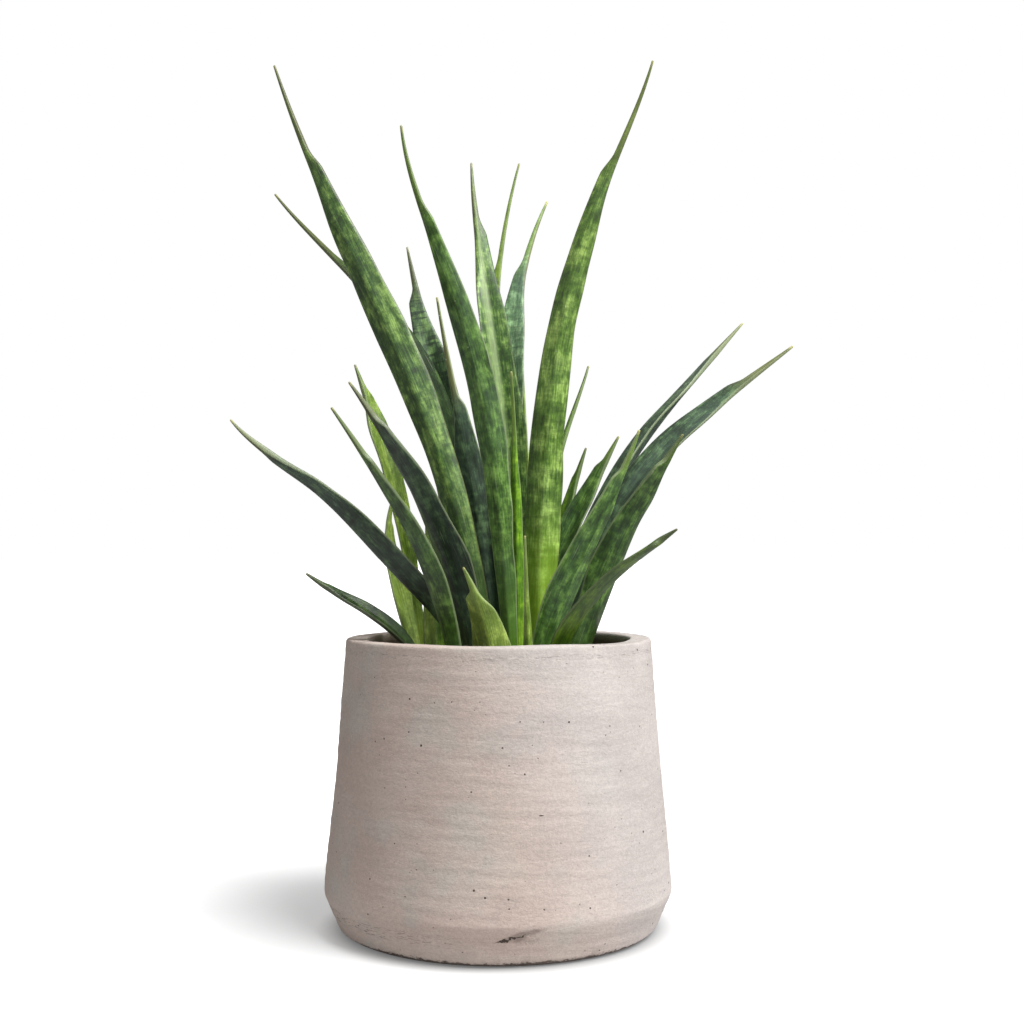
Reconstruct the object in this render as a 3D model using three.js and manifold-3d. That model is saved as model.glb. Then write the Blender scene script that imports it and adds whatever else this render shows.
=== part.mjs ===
// Potted star sansevieria: a clump of channelled, awl-tipped leaves in a fibre-clay pot.
// Millimetres, +Z up. The origin is the centre of the pot's flat foot, on the surface it stands on.
// The front, which the leaves' depths are counted from, looks along -Y.

import * as THREE from 'three';
import { mergeVertices } from 'three/addons/utils/BufferGeometryUtils.js';
import Module from 'manifold-3d';

const wasm = await Module();
wasm.setup();

// Pot
const POT_HEIGHT = 155;
const RIM_RADIUS = 82.6;
const RIM_ROUND = 2;
const WALL = 11.5;
const BELLY_RADIUS = 93.4;
const BELLY_HEIGHT = 22;
const CHAMFER_TOP = 15;
const CHAMFER_RADIUS = 91.2;
const CHAMFER_EASE = 5;
const FOOT_RADIUS = 83;
const FOOT_ROUND = 3;
const FLOOR = 14;
const FLOOR_ROUND = 8;
const ROUND_STEPS = 3;
const TURN_STEPS = 48;
const WELD_DISTANCE = 1e-4;

// Potting mix
const SOIL_BELOW_RIM = 28;
const SOIL_GAP = 0.3;
const SOIL_RINGS = 4;
const SOIL_BUMP = 1.6;
const SOIL_BUMP_START = 1.3;
const SOIL_WAVE_X = 9;
const SOIL_WAVE_Y = 11;
const SOIL_WAVE_SKEW = 23;
const SOIL_LEVEL_SHARE = 0.7;
const ROOT_DEPTH = 12;
const ROOT_Z = POT_HEIGHT - SOIL_BELOW_RIM - ROOT_DEPTH;
const SOCKET_GAP = 0.5;

// Every leaf
const ROOT_SHARE = 0.34;
const RISE_POWER = 1.2;
const SHOULDER_SHARE = 0.45;
const FALL_POWER = 1.3;
const ROOT_THICKNESS = 4.2;
const BLADE_THICKNESS = 3;
const THINNING_SHARE = 0.35;
const MARGIN_THICKNESS = 0.9;
const AWL_RADIUS = 0.9;
const AWL_RADIUS_PER_WIDTH = 0.045;
const AWL_MARGIN_PER_RADIUS = 0.9;
const TIP_RADIUS = 0.6;
const ROOT_CHANNEL = 0.6;
const BLADE_CHANNEL = 0.5;
const OPENING_SHARE = 0.5;
const CHANNEL_SOFTNESS = 0.3;
const ROUNDING_SHARE = 0.25;
const SHARP_SHOULDER = 0.03;
const SOFT_SHOULDER = 0.16;
const SHOULDER_END = 0.01;
const BLADE_STATIONS = 11;
const AWL_STATIONS = 5;
const AWL_SPACING = 1.6;
const FACE_POINTS = [-1, -0.5, 0, 0.5, 1];
const KEEL_POINTS = [1, 0, -1];

// Each leaf: the points that its midrib runs through, from root to tip; the way its channelled face
// looks at the root and at the tip, in degrees from the front towards +X; its widest width; where along
// its length it is widest and where its blade ends in the awl, as shares; the margin (1 or -1) that
// ends in a sharp shoulder; and its tone of green.
const leaves = {
  // The tall leaves
  tall_left: {
    through: [[-1, -6, ROOT_Z], [-22, -5, 219], [-59.4, 4, 320], [-91.4, 14, 388],
      [-110.8, 21.5, 432], [-128.8, 30, 479.5]],
    faces: [170, 150], width: 20.5, belly: 0.65, blade: 0.85, shoulder: -1, tone: 'bright',
  },
  tall_front: {
    through: [[7, -26, ROOT_Z], [4, -32, 186], [-7.3, -42, 278], [-21.4, -49.6, 330],
      [-34.3, -55, 365], [-48.8, -62, 417]],
    faces: [175, 160], width: 15.5, belly: 0.6, blade: 0.87, shoulder: -1, tone: 'green',
  },
  tall_back: {
    through: [[10, 4, ROOT_Z], [6.5, 12, 230], [-4.1, 24, 330], [-12.3, 33.3, 385], [-16.2, 42, 426.5]],
    faces: [10, 20], width: 20.5, belly: 0.55, blade: 0.885, shoulder: 1, tone: 'bright',
  },
  tall_right: {
    through: [[22, -4, ROOT_Z], [22.8, -8, 190], [27.2, -11, 270], [38.1, -12, 340],
      [57.5, -10, 400], [84.2, -8, 469]],
    faces: [180, 175], width: 20, belly: 0.32, blade: 0.84, shoulder: 1, tone: 'bright',
  },
  // The leaves behind the tall ones
  slim_back: {
    through: [[2, 36, ROOT_Z], [-4, 50, 243], [-0.9, 70, 367], [11.7, 85, 438]],
    faces: [0, -10], width: 12.6, belly: 0.45, blade: 0.8, shoulder: -1, tone: 'olive',
  },
  dark_back: {
    through: [[13, 20, ROOT_Z], [6.4, 33, 254], [12.2, 49, 357], [28.2, 62, 409]],
    faces: [-10, -25], width: 20, belly: 0.7, blade: 0.86, shoulder: -1, tone: 'slate',
  },
  banded_back: {
    through: [[-13, 42, ROOT_Z], [-24, 52, 243], [-45.4, 62, 338], [-55.3, 68, 383]],
    faces: [10, 5], width: 23.8, belly: 0.6, blade: 0.9, shoulder: -1, tone: 'slate',
  },
  strip_back: {
    through: [[17, 34, ROOT_Z], [16, 44, 243], [13, 50, 302], [12, 54, 349]],
    faces: [-20, -20], width: 6, belly: 0.4, blade: 0.85, shoulder: 1, tone: 'olive',
  },
  back_left: {
    through: [[-9, 22, ROOT_Z], [-22, 31, 208], [-41, 46, 298], [-91.6, 62, 369], [-135, 72, 416]],
    faces: [40, 60], width: 17.8, belly: 0.5, blade: 0.84, shoulder: 1, tone: 'slate',
  },
  // The middle of the clump
  dark_mid: {
    through: [[-3, 12, ROOT_Z], [-13, 10, 230], [-26.4, 7, 299], [-33.9, 2, 341]],
    faces: [175, 165], width: 19, belly: 0.65, blade: 0.76, shoulder: -1, tone: 'slate',
  },
  mid_front: {
    through: [[12, -14, ROOT_Z], [10, -20, 197], [9, -30, 250], [7, -44, 294]],
    faces: [180, 180], width: 8, belly: 0.55, blade: 0.8, shoulder: 1, tone: 'green',
  },
  new_shoot: {
    through: [[17, -44, ROOT_Z], [16, -46, 151], [15, -48, 179], [14, -50, 209]],
    faces: [180, 180], width: 5, belly: 0.4, blade: 0.7, shoulder: 1, tone: 'olive',
  },
  short_front: {
    through: [[1, -44, ROOT_Z], [-3, -48, 148], [-9, -54, 173], [-17, -60, 193]],
    faces: [175, 165], width: 22, belly: 0.35, blade: 0.84, shoulder: 1, tone: 'olive',
  },
  // The left side
  slate_left: {
    through: [[-7, -16, ROOT_Z], [-30.7, -26, 205], [-48.4, -36, 244], [-76, -50, 288]],
    faces: [150, 120], width: 23.2, belly: 0.5, blade: 0.88, shoulder: -1, tone: 'slate',
  },
  front_left: {
    through: [[-21, -32, ROOT_Z], [-35, -44, 188], [-52, -58, 225], [-81.4, -78, 272]],
    faces: [150, 125], width: 14, belly: 0.5, blade: 0.84, shoulder: -1, tone: 'green',
  },
  arch_left: {
    through: [[-24, -2.6, ROOT_Z], [-52, -7.2, 186.5], [-73, -9.6, 209.2], [-97, -12, 233.5],
      [-129, -16, 258.5], [-143, -18, 271.6]],
    faces: [125, 105], width: 23, belly: 0.55, blade: 0.88, shoulder: 1, tone: 'slate',
  },
  low_left: {
    through: [[-37, -12, ROOT_Z], [-51, -16, 152.8], [-78, -26, 174.9], [-100, -32, 189.6]],
    faces: [90, 80], width: 11, belly: 0.5, blade: 0.9, shoulder: 1, tone: 'green',
  },
  pale_left: {
    through: [[-43, 36, ROOT_Z], [-54, 36, 205], [-68, 38, 263], [-83.4, 42, 309]],
    faces: [40, 50], width: 15, belly: 0.88, blade: 0.93, shoulder: 1, tone: 'olive',
  },
  olive_left: {
    through: [[-45.4, 16, ROOT_Z], [-54.4, 17, 169], [-61.6, 18, 205], [-59, 18, 232]],
    faces: [60, 40], width: 13, belly: 0.6, blade: 0.88, shoulder: 1, tone: 'olive',
  },
  olive_small: {
    through: [[-37, 24, ROOT_Z], [-39.6, 24, 152], [-40, 24, 183], [-41, 24, 215]],
    faces: [30, 30], width: 8, belly: 0.45, blade: 0.85, shoulder: 1, tone: 'olive',
  },
  // The right side
  front_right: {
    through: [[19, -26, ROOT_Z], [37.6, -40, 186], [55.7, -52, 225], [71.2, -64, 262]],
    faces: [-160, -150], width: 17, belly: 0.5, blade: 0.86, shoulder: 1, tone: 'green',
  },
  low_right: {
    through: [[29, -40, ROOT_Z], [42, -52, 167], [64, -60, 192.7], [89.2, -70, 212.3]],
    faces: [-120, -105], width: 19.4, belly: 0.4, blade: 0.92, shoulder: 1, tone: 'green',
  },
  broad_right: {
    through: [[34.6, -12, ROOT_Z], [54.8, -20, 177], [77.5, -28, 229], [96.2, -38, 262]],
    faces: [-150, -130], width: 23, belly: 0.55, blade: 0.9, shoulder: 1, tone: 'green',
  },
  arch_right: {
    through: [[37, 6, ROOT_Z], [72.4, 9, 230.8], [123.4, 12, 285], [147.9, 13.3, 303.8], [164, 14, 315.8]],
    faces: [-60, -60], width: 24, belly: 0.5, blade: 0.86, shoulder: -1, tone: 'slate',
  },
  high_right: {
    through: [[34, 26, ROOT_Z], [64.2, 42, 232.2], [114.7, 60, 303.3], [145.2, 70, 337.6]],
    faces: [-70, -70], width: 19.4, belly: 0.5, blade: 0.9, shoulder: -1, tone: 'slate',
  },
  mid_right: {
    through: [[24, 14, ROOT_Z], [34.6, 16, 197], [52, 15, 237], [66.5, 12, 265]],
    faces: [-45, -45], width: 19, belly: 0.5, blade: 0.9, shoulder: -1, tone: 'green',
  },
  small_right: {
    through: [[26, 30, ROOT_Z], [31.9, 36, 191], [42.3, 42, 236], [50.2, 46, 261]],
    faces: [-50, -50], width: 13.6, belly: 0.45, blade: 0.9, shoulder: -1, tone: 'green',
  },
  slim_right: {
    through: [[27, 46, ROOT_Z], [31.4, 54, 208], [41, 62, 276], [46.9, 65.2, 293], [53, 70, 311.8]],
    faces: [-60, -60], width: 7, belly: 0.45, blade: 0.86, shoulder: -1, tone: 'green',
  },
  // The shorter leaves at the back
  rear_left: {
    through: [[-22, 54, ROOT_Z], [-27, 66, 200], [-38, 84, 257], [-56, 106, 300]],
    faces: [20, 30], width: 15, belly: 0.5, blade: 0.86, shoulder: 1, tone: 'green',
  },
  rear_left_low: {
    through: [[-33, 40, ROOT_Z], [-37, 51, 163], [-41, 74, 200], [-43, 100, 225]],
    faces: [10, 20], width: 12, belly: 0.5, blade: 0.88, shoulder: -1, tone: 'green',
  },
  rear_mid: {
    through: [[5, 54, ROOT_Z], [4, 70, 210], [4, 90, 273], [7, 114, 317]],
    faces: [0, -5], width: 15, belly: 0.5, blade: 0.85, shoulder: 1, tone: 'green',
  },
  rear_mid_low: {
    through: [[-8, 50, ROOT_Z], [-9, 61, 163], [-10, 86, 203], [-12, 120, 235]],
    faces: [5, 5], width: 14, belly: 0.45, blade: 0.88, shoulder: 1, tone: 'green',
  },
  rear_right: {
    through: [[20, 56, ROOT_Z], [22, 70, 200], [25, 90, 257], [30, 114, 301]],
    faces: [-10, -15], width: 14, belly: 0.5, blade: 0.86, shoulder: -1, tone: 'green',
  },
  rear_right_low: {
    through: [[38, 36, ROOT_Z], [43, 45, 155], [56, 66, 185], [70, 92, 205]],
    faces: [-35, -45], width: 12, belly: 0.5, blade: 0.9, shoulder: -1, tone: 'green',
  },
};

const lerp = THREE.MathUtils.lerp;

// 0 below the first value, 1 above the second, with a smooth step between them.
function ease(from, to, value) {
  const t = THREE.MathUtils.clamp((value - from) / (to - from), 0, 1);
  return t * t * (3 - 2 * t);
}

// One smooth polynomial through all the points, each at its share of the length of the chords.
class MidribCurve extends THREE.Curve {
  constructor(through) {
    super();
    this.points = through.map((point) => new THREE.Vector3(...point));
    const chords = [0];
    for (let i = 1; i < this.points.length; i++) {
      chords.push(chords[i - 1] + this.points[i].distanceTo(this.points[i - 1]));
    }
    this.knots = chords.map((chord) => chord / chords.at(-1));
  }

  getPoint(t, target = new THREE.Vector3()) {
    target.set(0, 0, 0);
    this.points.forEach((point, i) => {
      let weight = 1;
      this.knots.forEach((knot, j) => {
        if (j !== i) weight *= (t - knot) / (this.knots[i] - knot);
      });
      target.addScaledVector(point, weight);
    });
    return target;
  }
}

// The awl's radius at a share of the length: thinner and thinner from the shoulder to the tip.
function awlRadius(leaf, share) {
  const base = AWL_RADIUS + AWL_RADIUS_PER_WIDTH * leaf.width;
  const along = Math.max(0, (share - leaf.blade) / (1 - leaf.blade));
  return lerp(base, TIP_RADIUS, along);
}

// Half the blade's width: a curve that swells from the root to the belly, then falls to the shoulder.
function bladeHalfWidth(leaf, share) {
  const along = Math.min(share / leaf.blade, 1);
  const peak = leaf.width / 2;
  if (along < leaf.belly) {
    const rise = 1 - along / leaf.belly;
    return peak * (1 - (1 - ROOT_SHARE) * rise ** RISE_POWER);
  }
  const fall = (along - leaf.belly) / (1 - leaf.belly);
  return peak * (1 - (1 - SHOULDER_SHARE) * fall ** FALL_POWER);
}

// The half-width on one side, where the blade gives way to the awl.
function sideHalfWidth(leaf, share, side) {
  const drop = side === leaf.shoulder ? SHARP_SHOULDER : SOFT_SHOULDER;
  const awl = awlRadius(leaf, share);
  const stays = 1 - ease(leaf.blade - drop, leaf.blade + SHOULDER_END, share);
  return awl + Math.max(0, bladeHalfWidth(leaf, share) - awl) * stays;
}

// The section at one share of the length, as points [across, out], over the channelled face and back
// under the keel. The channel is a softened V that is deepest at the root and dies out in the awl.
function leafSection(leaf, share, grow) {
  const round = ease(leaf.blade - ROUNDING_SHARE, leaf.blade, share);
  const awl = awlRadius(leaf, share);
  const bladeMid = lerp(ROOT_THICKNESS, BLADE_THICKNESS, ease(0, THINNING_SHARE, share));
  const mid = Math.min(lerp(bladeMid, 2 * awl, round), leaf.width / 2);
  const margin = lerp(MARGIN_THICKNESS, AWL_MARGIN_PER_RADIUS * awl, round);
  const channel = lerp(ROOT_CHANNEL, BLADE_CHANNEL, ease(0, OPENING_SHARE, share)) * (1 - round);
  const point = (u, face) => {
    const half = sideHalfWidth(leaf, share, Math.sign(u) || 1);
    const vee = Math.hypot(u, CHANNEL_SOFTNESS) - CHANNEL_SOFTNESS;
    const veeAtMargin = Math.hypot(1, CHANNEL_SOFTNESS) - CHANNEL_SOFTNESS;
    const thickness = margin + (mid - margin) * Math.sqrt(1 - u * u);
    return [u * (half + grow), channel * half * (vee / veeAtMargin) + face * (thickness / 2 + grow)];
  };
  const upper = FACE_POINTS.map((u) => point(u, 1));
  const under = KEEL_POINTS.map((u) => point(u, -1));
  return [...upper, ...under];
}

// Shares of the length at which sections are set: one at the neck, just clear of the potting mix, then
// closer and closer together up to the shoulder, and on along the awl.
function leafStations(leaf, neck) {
  const stations = [0];
  for (let i = 0; i < BLADE_STATIONS; i++) {
    const climb = Math.sin((i / (BLADE_STATIONS - 1)) * (Math.PI / 2));
    stations.push(lerp(neck, leaf.blade, climb));
  }
  for (let i = 1; i <= AWL_STATIONS; i++) {
    stations.push(leaf.blade + (1 - leaf.blade) * (i / AWL_STATIONS) ** AWL_SPACING);
  }
  return stations;
}

// The place of one section: the midrib point, the direction across and the direction that the
// channelled face looks in, square to the midrib.
function leafFrame(leaf, curve, share) {
  const place = curve.getPointAt(share);
  const along = curve.getTangentAt(share);
  const turn = THREE.MathUtils.degToRad(lerp(leaf.faces[0], leaf.faces[1], share));
  const face = new THREE.Vector3(Math.sin(turn), -Math.cos(turn), 0);
  face.addScaledVector(along, -face.dot(along)).normalize();
  const across = along.clone().cross(face);
  return { place, along, face, across };
}

// A closed skin over rings of points that follow one another, its two ends filled from the flat
// outline of the first ring.
function skin(rings, outline) {
  const count = outline.length;
  const positions = rings.flat().flatMap((point) => point.toArray());
  const index = [];
  for (let r = 0; r + 1 < rings.length; r++) {
    for (let i = 0; i < count; i++) {
      const j = (i + 1) % count;
      const [a, b, c, d] = [r * count + i, r * count + j, (r + 1) * count + j, (r + 1) * count + i];
      index.push(a, b, c, a, c, d);
    }
  }
  const flat = outline.map(([x, y]) => new THREE.Vector2(x, y));
  const last = (rings.length - 1) * count;
  for (const [a, b, c] of THREE.ShapeUtils.triangulateShape(flat, [])) {
    index.push(a, b, c);
    index.push(last + c, last + b, last + a);
  }
  const geometry = new THREE.BufferGeometry();
  geometry.setAttribute('position', new THREE.Float32BufferAttribute(positions, 3));
  geometry.setIndex(index);
  return geometry;
}

// The neck's share of the length: as far above the potting mix as the root is below it.
function neckShare(curve) {
  return 2 * ROOT_DEPTH / curve.getLength();
}

function leafGeometry(leaf) {
  const curve = new MidribCurve(leaf.through);
  const rings = leafStations(leaf, neckShare(curve)).map((share) => {
    const { place, face, across } = leafFrame(leaf, curve, share);
    return leafSection(leaf, share, 0).map(([x, y]) =>
      place.clone().addScaledVector(across, x).addScaledVector(face, y));
  });
  return skin(rings, leafSection(leaf, 0, 0));
}

// The hole that a leaf stands in: its own lower end, grown all round, from just under the root to
// above the potting mix.
function socketGeometry(leaf) {
  const curve = new MidribCurve(leaf.through);
  const rings = [0, neckShare(curve)].map((share) => {
    const { place, along, face, across } = leafFrame(leaf, curve, share);
    if (share === 0) place.addScaledVector(along, -SOCKET_GAP);
    return leafSection(leaf, share, SOCKET_GAP).map(([x, y]) =>
      place.clone().addScaledVector(across, x).addScaledVector(face, y));
  });
  return skin(rings, leafSection(leaf, 0, SOCKET_GAP));
}

// A profile of [radius, height] turned about the upright axis.
function turned(profile) {
  const points = profile.map(([radius, height]) => new THREE.Vector2(radius, height));
  const geometry = new THREE.LatheGeometry(points, TURN_STEPS);
  geometry.rotateX(Math.PI / 2);
  return welded(geometry);
}

function welded(geometry) {
  geometry.deleteAttribute('normal');
  geometry.deleteAttribute('uv');
  return mergeVertices(geometry, WELD_DISTANCE);
}

// The outer wall's radius at a height: straight from the belly to the rim.
function outerRadius(height) {
  const share = (height - BELLY_HEIGHT) / (POT_HEIGHT - BELLY_HEIGHT);
  return lerp(BELLY_RADIUS, RIM_RADIUS, share);
}

// Points of a rounded corner: a quadratic curve from one point to another by way of the sharp corner.
function rounded(from, corner, to) {
  const curve = new THREE.QuadraticBezierCurve(
    new THREE.Vector2(...from), new THREE.Vector2(...corner), new THREE.Vector2(...to));
  return curve.getPoints(ROUND_STEPS).map((point) => [point.x, point.y]);
}

function potGeometry() {
  const innerRim = RIM_RADIUS - WALL;
  const innerFloor = outerRadius(FLOOR + FLOOR_ROUND) - WALL;
  return turned([
    [0, 0],
    ...rounded([FOOT_RADIUS - FOOT_ROUND, 0], [FOOT_RADIUS, 0], [FOOT_RADIUS + FOOT_ROUND, FOOT_ROUND]),
    ...rounded([CHAMFER_RADIUS, CHAMFER_TOP], [BELLY_RADIUS, CHAMFER_TOP + CHAMFER_EASE],
      [BELLY_RADIUS, BELLY_HEIGHT]),
    ...rounded([outerRadius(POT_HEIGHT - RIM_ROUND), POT_HEIGHT - RIM_ROUND],
      [RIM_RADIUS, POT_HEIGHT], [RIM_RADIUS - RIM_ROUND, POT_HEIGHT]),
    ...rounded([innerRim + RIM_ROUND, POT_HEIGHT], [innerRim, POT_HEIGHT],
      [outerRadius(POT_HEIGHT - RIM_ROUND) - WALL, POT_HEIGHT - RIM_ROUND]),
    ...rounded([innerFloor, FLOOR + FLOOR_ROUND], [innerFloor, FLOOR], [innerFloor - FLOOR_ROUND, FLOOR]),
    [0, FLOOR],
  ]);
}

// Low uneven ground: two slow waves across each other, which fade out at the wall.
function soilBump(x, y) {
  const fade = 1 - ease(SOIL_LEVEL_SHARE, 1, Math.hypot(x, y) / (RIM_RADIUS - WALL));
  const waveX = Math.sin(x / SOIL_WAVE_X + SOIL_BUMP_START);
  const waveY = Math.cos(y / SOIL_WAVE_Y + x / SOIL_WAVE_SKEW);
  return SOIL_BUMP * fade * waveX * waveY;
}

function soilGeometry() {
  const top = POT_HEIGHT - SOIL_BELOW_RIM;
  const rimRadius = outerRadius(top) - WALL - SOIL_GAP;
  const floorRadius = outerRadius(FLOOR + FLOOR_ROUND) - WALL - SOIL_GAP;
  const floor = FLOOR + SOIL_GAP;
  const profile = [
    [0, floor],
    ...rounded([floorRadius - FLOOR_ROUND, floor], [floorRadius, floor], [floorRadius, floor + FLOOR_ROUND]),
  ];
  for (let ring = SOIL_RINGS; ring >= 0; ring--) {
    profile.push([rimRadius * ring / SOIL_RINGS, top]);
  }
  const ground = turned(profile);
  const place = ground.getAttribute('position');
  for (let i = 0; i < place.count; i++) {
    const onTop = Math.abs(place.getZ(i) - top) < SOIL_GAP;
    if (onTop) place.setZ(i, top + soilBump(place.getX(i), place.getY(i)));
  }
  return ground;
}

function solid(geometry) {
  return new wasm.Manifold(new wasm.Mesh({
    numProp: 3,
    vertProperties: Float32Array.from(geometry.getAttribute('position').array),
    triVerts: Uint32Array.from(geometry.getIndex().array),
  }));
}

function fromSolid(body) {
  const mesh = body.getMesh();
  const geometry = new THREE.BufferGeometry();
  geometry.setAttribute('position', new THREE.Float32BufferAttribute(mesh.vertProperties, 3));
  geometry.setIndex(Array.from(mesh.triVerts));
  return geometry;
}

function plantedSoil() {
  const sockets = Object.values(leaves).map((leaf) => solid(socketGeometry(leaf)));
  const body = sockets.reduce((ground, socket) => ground.subtract(socket), solid(soilGeometry()));
  return fromSolid(body);
}

const fibreClay = new THREE.MeshStandardMaterial({ color: '#c3b3a8', roughness: 0.9, metalness: 0 });
const pottingMix = new THREE.MeshStandardMaterial({ color: '#2e2018', roughness: 1, metalness: 0 });
const leafTones = { bright: '#4d7a36', green: '#2f5a2f', slate: '#2c4238', olive: '#8aa04a' };
const leafSkin = (tone) =>
  new THREE.MeshStandardMaterial({ color: leafTones[tone], roughness: 0.45, metalness: 0 });

const plant = new THREE.Group();

function addPiece(name, geometry, material) {
  const piece = new THREE.Mesh(geometry, material);
  piece.name = name;
  plant.add(piece);
}

addPiece('pot', potGeometry(), fibreClay);
addPiece('soil', plantedSoil(), pottingMix);
for (const [name, leaf] of Object.entries(leaves)) {
  addPiece(`leaf_${name}`, leafGeometry(leaf), leafSkin(leaf.tone));
}

export default plant;
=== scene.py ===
"""Potted star sansevieria: a Blender add-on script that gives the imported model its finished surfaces.

The pot, the potting mix and every leaf are surfaces over two parameters, worked out with numpy.
The frame is the model's: metres, +Z up, the origin at the centre of the pot's foot. Shapes are worked
out in millimetres and made metres at the end. Lengths in the noise tables and the settings are in metres.
"""
import math
from typing import NamedTuple

import bpy
import numpy as np
from bpy.props import FloatProperty, FloatVectorProperty, IntProperty, PointerProperty
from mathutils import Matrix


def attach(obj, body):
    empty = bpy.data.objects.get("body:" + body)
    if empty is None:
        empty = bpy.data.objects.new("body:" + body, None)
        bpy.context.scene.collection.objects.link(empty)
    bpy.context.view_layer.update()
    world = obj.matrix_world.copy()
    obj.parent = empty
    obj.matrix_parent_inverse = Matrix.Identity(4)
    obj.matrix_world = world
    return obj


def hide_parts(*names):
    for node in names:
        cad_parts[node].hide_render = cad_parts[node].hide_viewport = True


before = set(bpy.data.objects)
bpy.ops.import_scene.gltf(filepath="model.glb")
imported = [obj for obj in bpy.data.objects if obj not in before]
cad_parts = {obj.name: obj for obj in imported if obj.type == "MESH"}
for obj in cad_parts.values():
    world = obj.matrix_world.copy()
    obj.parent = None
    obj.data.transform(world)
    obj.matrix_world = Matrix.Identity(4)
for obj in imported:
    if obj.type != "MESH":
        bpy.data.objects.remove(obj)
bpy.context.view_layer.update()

bl_info = {
    "name": "Potted star sansevieria",
    "version": (1, 0, 0),
    "blender": (4, 5, 0),
    "location": "3D View > Sidebar > Sansevieria",
    "description": "A clump of channelled, mottled leaves in a fibre-clay pot",
    "category": "Add Mesh",
}

MM = 0.001

# Sizes that the pot's solid has, in mm
POT_HEIGHT = 155
RIM_RADIUS = 82.6
RIM_ROUND = 2
WALL = 11.5
BELLY_RADIUS = 93.4
BELLY_HEIGHT = 22
CHAMFER_TOP = 15
CHAMFER_RADIUS = 91.2
CHAMFER_EASE = 5
FOOT_RADIUS = 83
FOOT_ROUND = 3
FLOOR = 14
FLOOR_ROUND = 8

# Sizes that the potting mix's solid has, in mm
SOIL_LEVEL = 127
SOIL_GAP = 0.3

# Sizes that every leaf's solid has, in mm or as shares
ROOT_Z = SOIL_LEVEL - 12
ROOT_SHARE = 0.34
RISE_POWER = 1.2
SHOULDER_SHARE = 0.45
FALL_POWER = 1.3
ROOT_THICKNESS = 4.2
BLADE_THICKNESS = 3
THINNING_SHARE = 0.35
MARGIN_THICKNESS = 0.9
AWL_RADIUS = 0.9
AWL_RADIUS_PER_WIDTH = 0.045
AWL_MARGIN_PER_RADIUS = 0.9
TIP_RADIUS = 0.6
ROOT_CHANNEL = 0.6
BLADE_CHANNEL = 0.5
OPENING_SHARE = 0.5
ROUNDING_SHARE = 0.25
SHARP_SHOULDER = 0.03
SOFT_SHOULDER = 0.16
SHOULDER_END = 0.01

# What only the finished leaves have: counts, shares, sizes in mm, angles and seeds
MIDRIB_STEPS = 1201
WAVES_START = (0.12, 0.3)
FULL_WAVE_WIDTH = 16
MARGIN_WAVES = (38, 20, 1)
CURL_WAVES = (55, 20, 1)
CURL_PER_WAVE = 1.6
MARGIN_POWER = 14
FLANK_APART = 100
FACE_SHIFT = 40
TIP_RINGS = np.radians([30, 55, 78])
LEAF_SEEDS = (100, 10)
SKIN_SEED = 17.3

# Swells of the finished pot and ground: each one's size in mm, its seed and its number of waves. The
# ground adds three up, each with its share before it.
SLOW_SWELL = ((80, 80, 60), 3, 28)
RIPPLE_SWELL = ((30, 30, 4.5), 4, 40)
NIBBLE_SWELL = ((9, 9, 20), 5, 40)
CHIP_SWELL = ((4, 4, 4), 8, 40)
CRUMB_SWELLS = ((1, (22, 20, 28)), (0.8, (8, 21, 40)), (0.5, (3.2, 22, 60)))

# Wear on the finished pot, in mm or as shares. WORN_OVAL is the worn patch: its middle and half-width
# across, then up, from the chip's place.
NIBBLE_HEIGHT = 2
NIBBLE_REACH = 2.2
NIBBLE_RADII = (78, 82)
NIBBLE_LEVEL = 0.6
CHIP_SLANT = 0.2
CHIP_REACH = (8.5, 2.4)
CHIP_FRAY = 0.25
CHIP_EDGE = (0.5, 1.15)
CRACK_SLANT = 0.24
CRACK_RISE = 2.5
CRACK_REACH = 7.5
WORN_OVAL = ((3, 8), (-2.2, 2.4))

# Kinds of crumb on the ground: the name, the smallest and largest size in mm, the flatness and the seed
BARK = ("bark", (5, 12), 0.42, 31)
GRIT = ("grit", (1.6, 3.2), 0.8, 32)

# Every crumb: its ball's points round and rings of them; the places drawn for each that is wanted; then
# ranges, as shares, of how its points stray, of its width, and of how high its middle stands
BALL_AROUND = 8
BALL_RINGS = np.radians([34, 70, 110, 146])
PLACES_PER_CRUMB = 12
CRUMB_LUMPS = (0.78, 1.15)
CRUMB_WIDTHS = (0.5, 0.9)
CRUMB_RISES = (0.1, 0.55)

# Where leaves pass the ground: shares of their length, and how far above it still counts, in mm
FOOT_SHARES = np.linspace(0, 0.2, 12)
FOOT_REACH = 9

# Noise on a leaf: the size of its spots across and along in metres, its seed past the leaf's own and its
# detail
LEAF_NOISES = {
    "tone": (0.012, 0.03, 0, 2),
    "fibre": (0.0006, 0.014, 5, 3),
    "band": (0.016, 0.0034, 9, 3),
    "fleck": (0.0009, 0.0018, 11, 3),
    "cloud": (0.012, 0.045, 13, 3),
    "scratch": (0.0004, 0.03, 17, 1),
    "patch": (0.01, 0.0042, 19, 2),
}

# Noise on the pot: the size of its spots in metres, its seed and its detail
CLAY_NOISES = {
    "sand": ((0.0008, 0.0008, 0.0007), 1, 3),
    "cloud": ((0.05, 0.05, 0.035), 2, 3),
    "streak": ((0.009, 0.009, 0.0014), 4, 4),
    "tint": ((0.03, 0.03, 0.024), 7, 2),
    "lump": ((0.002, 0.002, 0.0015), 9, 3),
    "waver": ((0.0022, 0.0022, 0.0022), 11, 3),
    "hair": ((0.0045, 0.0045, 0.0005), 14, 2),
}


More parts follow.
